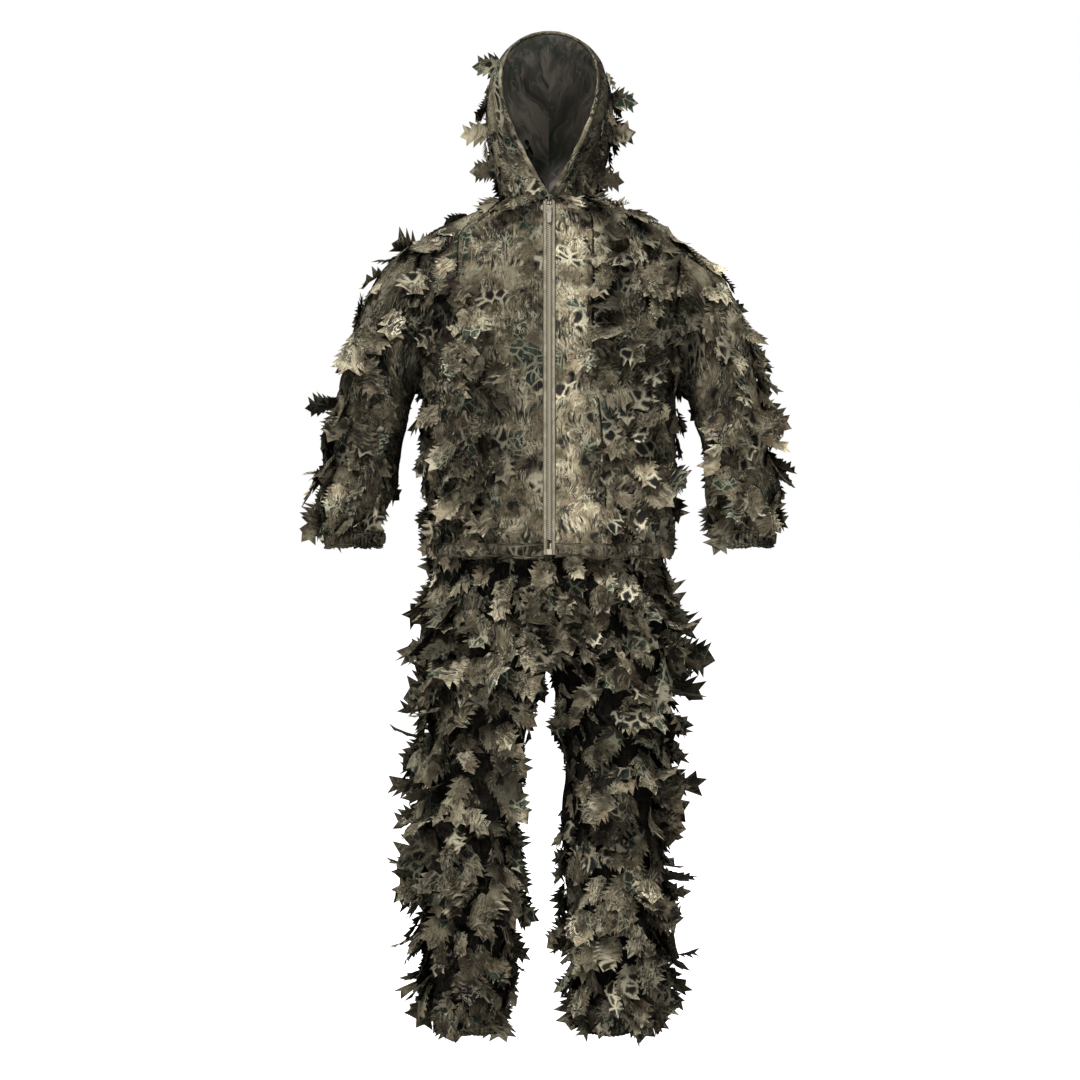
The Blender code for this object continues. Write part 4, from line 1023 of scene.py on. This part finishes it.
def make_front_seams(side, word, sheet):
    """The seam where the smooth cloth ends, lapped and stitched."""
    line = along(SEAM_LINE[side], np.linspace(0, 1, 140))
    v = np.linspace(0.0, 0.995, 260)
    us = np.linspace(0.0, 1.0, 160)
    uu, vv = np.meshgrid(us, v)
    grid = sheet(uu, vv)
    gap = (grid[None, ..., 0] - line[:, 0, None, None]) ** 2 + (grid[None, ..., 2] - line[:, 1, None, None]) ** 2
    nearest = gap.reshape(len(line), -1).argmin(axis=1)
    path_u, path_v = uu.reshape(-1)[nearest], vv.reshape(-1)[nearest]
    kernel = np.ones(9) / 9
    path_u = np.convolve(np.pad(path_u, 4, "edge"), kernel, "valid")
    path_v = np.convolve(np.pad(path_v, 4, "edge"), kernel, "valid")
    p, n = sheet(path_u, path_v), normals(sheet, path_u, path_v, side)
    tangent = unit(np.gradient(p, axis=0))
    across = unit(np.cross(n, tangent))
    across *= np.sign(across[:, :1]) * np.sign(p[:, :1])
    profile = np.array([(0.0028, 0.0004), (0.0004, 0.0006), (-0.0006, 0.0026), (-0.0024, 0.0030),
                        (-0.0050, 0.0016), (-0.0085, 0.0012), (-0.0100, -0.0006)])
    q = p[:, None] + across[:, None] * profile[None, :, :1] + n[:, None] * profile[None, :, 1:]
    shade = np.broadcast_to([0.10, 0.12, 0.45, 1.0, 1.05, 1.0, 0.9], q.shape[:2])
    lap = strip(f"front_seam_{word}", q, 41 + side, shade)
    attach(lap, "jacket")
    step = 3
    thread = stitches(f"front_seam_stitching_{word}", (p + n * 0.0017 - across * 0.0052)[::step], tangent[::step],
                      n[::step])
    return [lap, thread]


def make_hem():
    """The jacket's gathered hem, from one side of the zip round to the other."""
    start = math.asin((ZIP_HALF / HEM_HALF) ** (1 / 0.85))
    count = 720
    turn = np.linspace(start, TAU - start, count)
    tt, rr, inside = casing_rows(turn, (0.0, 0.05, 0.12, 0.2, 0.35, 0.5, 0.65, 0.8, 0.88, 0.95, 1.0),
                                 (1.0, 0.95, 0.8, 0.4, 0.0))
    depth = np.where(np.cos(tt) > 0, -ZIP_BOTTOM_Y, BACK_Y)
    x = HEM_HALF * np.sign(np.sin(tt)) * np.abs(np.sin(tt)) ** 0.85
    y = -depth * np.sign(np.cos(tt)) * np.abs(np.cos(tt)) ** 0.75
    out = unit(stack(x / HEM_HALF**2, y / depth**2))
    travel = np.cumsum(np.concatenate([[0], np.hypot(np.diff(x[0]), np.diff(y[0]))]))
    phase = travel / 0.0085
    pleat = np.abs(np.sin(phase * math.pi / 2 + 1.3 * np.sin(phase * 0.37))) ** 0.8 + 0 * rr
    groove = grooves(rr, 0.10, 0.9)
    near = np.minimum(tt - start, TAU - start - tt) / 0.06
    rise = np.where(inside, -0.0042, 0.0018 * np.sin(rr * math.pi) + 0.0036 * pleat * (1 - 0.6 * groove)
                    * np.clip(near, 0.1, 1))
    wavy = 0.0025 * np.sin(phase * 0.55) * rr
    p = stack(x + out[..., 0] * rise, y + out[..., 1] * rise, HEM_Z + 0.002 - rr * 0.026 + wavy)
    # Painted shade in the pleats' valleys: the tone runs from 0.62 in the valleys to 0.97 on the crests.
    obj = strip("jacket_hem_band", p, 0, 0.62 + 0.35 * pleat)
    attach(obj, "jacket")
    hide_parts("jacket_hem_casing", "jacket_hem_elastic")


# Sleeves -------------------------------------------------------------------------------------

def sleeve_calm(side):
    def calm(p, n):
        outer = ramp(-0.75, 0.2, side * n[:, 0]) * (0.75 if side > 0 else 1.0)
        return (0.08 + 0.92 * outer) * (1 - 0.78 * ramp(0.16, 0.30, p[:, 2]))
    return calm


def make_sleeve(side, word):
    under = sleeve(side)
    body = f"sleeve_{word}"

    def surface(u, v):
        return under(np.asarray(u) + 0.5, v)

    def folds(u, v, p):
        cuff = ramp(0.78, 1.0, v)
        rolls = np.sin(23 * v + 2.5 * hash_noise(p * 11, 15 + side)) * ramp(0.66, 0.78, v) * ramp(1.0, 0.94, v)
        long_folds = 0.006 * (1 - cuff) * wave(u, v, 9, 4 + side) * ramp(0.05, 0.3, v)
        gathers = 0.005 * cuff * wave(u, v, 30, 6 + side)
        return (long_folds + 0.006 * rolls + gathers + 0.004 * rumple(p, 14, 33)) * ramp(0.0, 0.06, v) - 0.003

    def dressed(u, v):
        p = sheet(u, v)
        low = ramp(0.14, -0.02, p[:, 2])
        stretched = (side * p[:, 0] < 0.288) & (p[:, 2] < 0.22)
        return ~stretched & (hash_noise(p * 9.0, 5 + side) < (0.62 if side < 0 else 0.68) + 0.42 * low)
    sheet = Sheet(surface, np.linspace(0, 1, 161), np.linspace(0, 1, 140), side, folds=folds)
    # Painted shade: the sleeve cloth is drawn darker under its leaves and in the armhole's fold.
    cloth = sheet.build(f"sleeve_cloth_{word}", PRINT, "printed_fabric", 12.0 + side,
                        tone=lambda u, v, p: (0.66 - 0.06 * side) * armhole_shade(p), growth=0.08,
                        held=edges_held(band=0.03))
    shape = {"calm": sleeve_calm(side), "keep": dressed, "lift": (0.03, 0.75), "length": (0.052, 0.084),
             "light": lambda q: (1.26 - 0.12 * side) * armhole_shade(q)}
    upper = leaves_on(f"sleeve_leaves_upper_{word}", sheet, side, (0, 1), (0.015, 0.60), 92, 91 + side, **shape)
    lower = leaves_on(f"sleeve_leaves_lower_{word}", sheet, side, (0, 1), (0.60, 0.945), 60, 95 + side,
                      spots=SLEEVE_SPOTS[side] + CUFF_SPOTS, **shape)
    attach(lower, body)
    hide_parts(f"sleeve_leaf_layer_{word}")
    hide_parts(f"sleeve_{word}")
    for piece in (cloth, upper):
        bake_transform(piece)
    cuff = gathered_ring(f"cuff_{word}", (side * CUFF_X, 0, CUFF_TOP), CUFF_HALF + 0.001, CUFF_DEPTH + 0.001,
                         CUFF_TOP - CUFF_BOTTOM, 40, 14 + side, 0.42, 0.008)
    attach(cuff, body)
    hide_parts(f"cuff_casing_{word}", f"cuff_elastic_{word}")


# Leaves that hang over the cuffs, then those at the sleeves' outer edge: u, v, turn
CUFF_SPOTS = tuple((0.05 + 0.10 * k, 0.890 + 0.012 * (k * 7 % 4), 0.9 * math.sin(2.4 * k)) for k in range(10))
SLEEVE_SPOTS = {-1: ((0.52, 0.31, 1.2), (0.50, 0.76, 1.3), (0.51, 0.90, 1.2), (0.53, 0.93, 0.9)),
                1: ((0.47, 0.31, -1.0), (0.49, 0.52, -1.0), (0.48, 0.74, -0.8), (0.50, 0.90, -0.9))}


# Hood ----------------------------------------------------------------------------------------

def hood_calm(p, n):
    """Only the leaves at the back of the hood stand away from it."""
    return 0.08 + 0.92 * ramp(0.0, 0.06, p[:, 1]) * (1 - ramp(0.62, 0.68, p[:, 2]))


# Leaves over the neck seam: u, v, turn
NECK_SPOTS = ((0.07, 0.07, 0.5), (0.09, 0.14, -0.4), (0.06, 0.21, 0.3), (0.09, 0.29, -0.2), (0.06, 0.37, 0.4),
              (0.09, 0.45, -0.3), (0.06, 0.55, 0.3), (0.09, 0.66, -0.3), (0.06, 0.78, 0.2), (0.08, 0.90, -0.2))


def make_hood():
    for side, word in SIDES:
        make_hood_half(side, word)
        make_side_leaves(side, word)
        make_neck_leaves(side, word)
    make_binding()
    make_neck_seam()


def make_hood_half(side, word):
    def folds(u, v, p):
        ridge = np.sin(v * 46 + 3 * hash_noise(p * 11, 3 + side)) * (1 - ramp(0.25, 0.5, v))
        seam = 0.0016 * np.exp(-((1 - u) / 0.02) ** 2)
        loose = ramp(0.0, 0.05, v)
        return (0.0016 * ridge + 0.002 * rumple(p, 18, 8)) * loose * ramp(1.0, 0.93, u) - 0.001 - seam

    def creases(u, v, p):
        return 0.0035 * np.sin(15 * u + 5 * hash_noise(p * 13, 40 + side)) * ramp(0.25, 0.6, v)

    def below_crown(u, v):
        return sheet(u, v)[:, 2] < 0.69 - 0.03 * (v < 0.35)
    sheet = Sheet(hood(side), np.linspace(0, 1, 80), np.linspace(0, 1, 90), -side, folds=folds)
    cloth = sheet.build(f"hood_cloth_{word}", PRINT, "printed_fabric", 20.0 + side, tone=0.72)
    inside = Sheet(hood(side), np.linspace(0.004, 1, 60), np.linspace(0, 1, 70), -side, lift=-0.0052,
                   folds=creases)
    # Painted shade: the lining is drawn darker low in the hood, near the neck.
    lining = inside.build(f"hood_lining_{word}", LINING, "printed_fabric", 24.0 + side,
                          tone=lambda u, v, p: 0.42 + 0.68 * ramp(0.45, 0.56, p[..., 2]))
    lining.data.flip_normals()
    lot = leaves_on(f"hood_leaves_{word}", sheet, -side, (0.05, 0.97), (0.16, 0.97), 44, 101 + side,
                    keep=below_crown, calm=hood_calm, spots=NECK_SPOTS, lift=(0.02, 0.5), curl=(-0.7, 0.3),
                    length=(0.044, 0.066), light=0.9)
    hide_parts(f"hood_{word}")
    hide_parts(f"hood_leaf_layer_{word}")
    for piece in (cloth, lining, lot):
        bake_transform(piece)


def make_neck_seam():
    """The bulky seam that joins the hood to the jacket, from one side of the zip round to the other."""
    v = np.linspace(0.0, 1.0, 120)
    path = mirrored(hood(1)(np.zeros(120), v))
    path[:, 2] -= HOOD_SEAM / 2
    out = unit(path * np.array([1, 1, 0]))
    angle = np.linspace(0, TAU, 11)
    size = 0.0034 + 0.0008 * np.sin(np.arange(len(path)) * 0.9)[:, None, None]
    p = path[:, None] + (out[:, None] * np.cos(angle)[None, :, None]
                         + np.array([0, 0, 1.0]) * 1.3 * np.sin(angle)[None, :, None]) * size
    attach(strip("neck_seam", p, 37, np.full(p.shape[:2], 0.55)), "jacket")


def make_neck_leaves(side, word):
    """A row of leaves that starts under the neck seam and lies out over the shoulder."""
    rng = np.random.default_rng(61 + side)
    count = 13
    base = hood(side)(np.zeros(count), np.linspace(0.10, 0.97, count) + rng.uniform(-0.015, 0.015, count))
    out = unit(base * np.array([1.0, 1.0, 0.0]))
    up = np.array([0.0, 0.0, 1.0])
    turn = rng.uniform(-0.5, 0.5, (count, 1))
    direction = unit(0.84 * out - 0.54 * up + turn * np.cross(out, up))
    base, normal = base + 0.003 * out + 0.002 * up, unit(0.54 * out + 0.84 * up)
    obj = build_leaves(f"neck_leaves_{word}", base, normal, direction, rng, length=(0.048, 0.064),
                       lift=(0.05, 0.45), curl=(-0.8, 0.2), light=0.8)
    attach(obj, "jacket")


def make_side_leaves(side, word):
    """Three leaves stand straight out from each side of the hood."""
    rng = np.random.default_rng(7 + side)
    heights = (0.676, 0.556, 0.490) if side < 0 else (0.617, 0.546, 0.472)
    surface = hood(side)
    base, normal, direction = [], [], []
    u = np.linspace(0.02, 0.98, 200)
    line = surface(u, np.full(200, 0.34))
    for z in heights:
        k = int(np.argmin(np.abs(line[:, 2] - z)))
        base.append(line[k] + np.array([-side * 0.006, -0.008, 0.0]))
        normal.append((side * 0.25, -0.95, 0.1))
        direction.append((side, 0.0, rng.uniform(-0.25, 0.25)))
    base, normal, direction = (np.array(each) for each in (base, normal, direction))
    obj = build_leaves(f"hood_side_leaves_{word}", base, unit(normal), direction, rng,
                       length=(0.054, 0.062), lift=(-0.05, 0.05), curl=(-0.4, 0.2), light=0.62)
    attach(obj, "hood")


def make_binding():
    """The folded print edge round the face opening."""
    count = 240
    u = np.linspace(0.0, 1.0, count)
    left = hood(1)(u, np.zeros(count))
    step = hood(1)(u, np.full(count, 0.02)) - left
    path, forward = mirrored(left), mirrored(-unit(step))
    forward[:, 1] = np.minimum(forward[:, 1], -0.3)
    forward = unit(forward)
    tangent = unit(np.gradient(path, axis=0))
    out = unit(np.cross(tangent, forward))
    middle = np.array([0, path[:, 1].mean(), 0.60])
    out = out * np.sign(np.sum(out * (path - middle), -1, keepdims=True))
    angle = np.linspace(0, TAU, 13)
    ring = stack(0.0040 + 0.0050 * np.cos(angle), -0.0016 + 0.0028 * np.sin(angle))
    wrinkle = 1 + 0.07 * np.sin(np.arange(len(path)) * 0.31)[:, None, None]
    p = path[:, None] + (forward[:, None] * ring[None, :, :1] + out[:, None] * ring[None, :, 1:]) * wrinkle
    obj = strip("face_edge", p, 31, 1.05 - 0.40 * ramp(0.63, 0.69, p[..., 2]))
    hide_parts("hood_face_binding")
    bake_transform(obj)


# Zip -----------------------------------------------------------------------------------------

ZIP_TOP = np.array([0.0, ZIP_TOP_Y, NECK_FRONT_Z])
ZIP_LENGTH = math.hypot(ZIP_BOTTOM_Y - ZIP_TOP_Y, HEM_Z - NECK_FRONT_Z)
ZIP_DOWN = np.array([0.0, ZIP_BOTTOM_Y - ZIP_TOP_Y, HEM_Z - NECK_FRONT_Z]) / ZIP_LENGTH
ZIP_OUT = np.array([0.0, ZIP_DOWN[2], -ZIP_DOWN[1]])


def zip_at(x, distance, out):
    x, distance, out = np.broadcast_arrays(x, distance, out)
    return ZIP_TOP + stack(x, x * 0, x * 0) + distance[..., None] * ZIP_DOWN + out[..., None] * ZIP_OUT


def make_zip():
    for side, word in SIDES:
        xs = side * np.array([0.0007, 0.0012, 0.0040, 0.0048, 0.0066, 0.0082, 0.0094, 0.0100, 0.0110])
        rise = np.array([0.0000, 0.0008, 0.0009, 0.0004, 0.0005, 0.0006, 0.0006, -0.0006, -0.0018])
        d = np.linspace(0.002, ZIP_LENGTH + 0.018, 260)
        xx, dd = np.meshgrid(xs, d)
        out = np.broadcast_to(rise, xx.shape) + 0.0003 * np.sin(dd * 260 + side)
        p = zip_at(xx, dd, out)
        flat = np.stack([xx, dd, xx * 0], -1)
        shade = np.broadcast_to([0.14, 0.18, 0.20, 0.62, 1.0, 1.05, 0.95, 0.35, 0.2], xx.shape)
        tape = make_mesh(f"zip_tape_cloth_{word}", p, grid_faces(*xx.shape, flip=side < 0), flat, shade)
        dress(tape, TAPE, "zip_tape")
        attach(tape, "jacket")
        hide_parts(f"zip_tape_{word}")
        make_teeth(side, word)
    for name in ("zip_top_stop_left", "zip_top_stop_right", "zip_insertion_pin", "zip_retainer_box"):
        dress_node(name, TEETH)
    dress_node("zip_slider_body", METAL)
    dress_node("zip_pull_tab", METAL)


def dress_node(name, material):
    slots = NODES[name].data.materials
    if len(slots) == 0:
        slots.append(material)
    for k in range(len(slots)):
        slots[k] = material


def make_teeth(side, word):
    """Every tooth as its own little hooked block, the two rows half a pitch apart."""
    pitch = 0.0032
    start = 0.013 + (pitch / 2 if side < 0 else 0)
    count = int((ZIP_LENGTH - 0.004 - start) / pitch)
    d = start + np.arange(count) * pitch
    shape = np.array([  # x from the middle, along, out
        (0.0036, -0.32, 0.0010), (0.0036, 0.32, 0.0010), (0.0012, 0.32, 0.0010), (0.0012, -0.32, 0.0010),
        (0.0034, -0.26, 0.0026), (0.0034, 0.26, 0.0026), (0.0010, 0.24, 0.0030), (0.0010, -0.24, 0.0030),
        (-0.0006, 0.28, 0.0014), (-0.0006, -0.28, 0.0014), (-0.0006, 0.20, 0.0028), (-0.0006, -0.20, 0.0028)])
    faces = [(0, 3, 2, 1), (4, 5, 6, 7), (0, 1, 5, 4), (1, 2, 6, 5), (3, 0, 4, 7), (2, 3, 9, 8), (6, 10, 11, 7),
             (2, 8, 10, 6), (9, 3, 7, 11), (8, 9, 11, 10)]
    points = zip_at(side * shape[None, :, 0], d[:, None] + shape[None, :, 1] * pitch, shape[None, :, 2])
    every = [tuple(12 * k + i for i in (f if side > 0 else f[::-1])) for k in range(count) for f in faces]
    obj = make_mesh(f"zip_teeth_row_{word}", points, every, smooth=False)
    dress(obj, TEETH, "zip_plastic")
    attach(obj, "jacket")
    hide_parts(f"zip_teeth_{word}")


# Camera, light and floor --------------------------------------------------------------------------

SENSOR, LENS = 36.0, 84.8
CAMERA_PLACE = (-0.016, -4.50, -0.163)
FLOOR_Z = -1.095
LAMPS = (("key", (-1.0, -3.0, 3.4), 0.8, 200), ("fill", (2.2, -3.6, 1.6), 1.6, 30),  # name, place, size, watts
         ("top", (0.2, 0.2, 3.4), 1.6, 70), ("back", (0.0, 3.4, 1.6), 2.6, 60))


def make_stage():
    scene = bpy.context.scene
    data = bpy.data.cameras.new("camera")
    camera = bpy.data.objects.new("camera", data)
    scene.collection.objects.link(camera)
    data.sensor_width, data.lens = SENSOR, LENS
    camera.location = CAMERA_PLACE
    camera.rotation_euler = (math.radians(90), 0, 0)
    scene.camera = camera
    for name, place, size, power in LAMPS:
        light = bpy.data.lights.new(name, "AREA")
        light.energy, light.size = power, size
        lamp = bpy.data.objects.new(name, light)
        lamp.location = place
        lamp.rotation_euler = (Vector((0, 0, -0.1)) - Vector(place)).to_track_quat("-Z", "Y").to_euler()
        scene.collection.objects.link(lamp)
    world = bpy.data.worlds.new("studio")
    world.use_nodes = True
    tree = world.node_tree
    background = tree.nodes["Background"]
    path = tree.nodes.new("ShaderNodeLightPath")
    strength = tree.nodes.new("ShaderNodeMapRange")
    strength.inputs["To Min"].default_value = 0.10
    strength.inputs["To Max"].default_value = 1.0
    tree.links.new(path.outputs["Is Camera Ray"], strength.inputs["Value"])
    tree.links.new(strength.outputs[0], background.inputs["Strength"])
    background.inputs["Color"].default_value = (1, 1, 1, 1)
    scene.world = world
    points = [(x, y, FLOOR_Z) for x, y in ((-30, -30), (30, -30), (30, 30), (-30, 30))]
    floor = make_mesh("floor", points, [(0, 1, 2, 3)], smooth=False)
    g = Graph("pale_floor")
    place = g.node("ShaderNodeTexCoord").outputs["Object"]
    mottle = g.noise(place, 3, 2, 0.5)
    g.finish(g.stops(mottle, [(0.3, 0.90), (0.7, 0.93)]))
    g.shader.inputs["Emission Color"].default_value = (1, 1, 1, 1)
    seen = g.node("ShaderNodeLightPath").outputs["Is Camera Ray"]
    g.put(g.shader.inputs["Emission Strength"], g.math("MULTIPLY", seen, 1.2))
    floor.data.materials.append(g.material)
    scene.view_settings.view_transform = "Standard"


make_stage()
make_trousers()
make_jacket()
make_hem()
for each in SIDES:
    make_sleeve(*each)
make_hood()
make_zip()
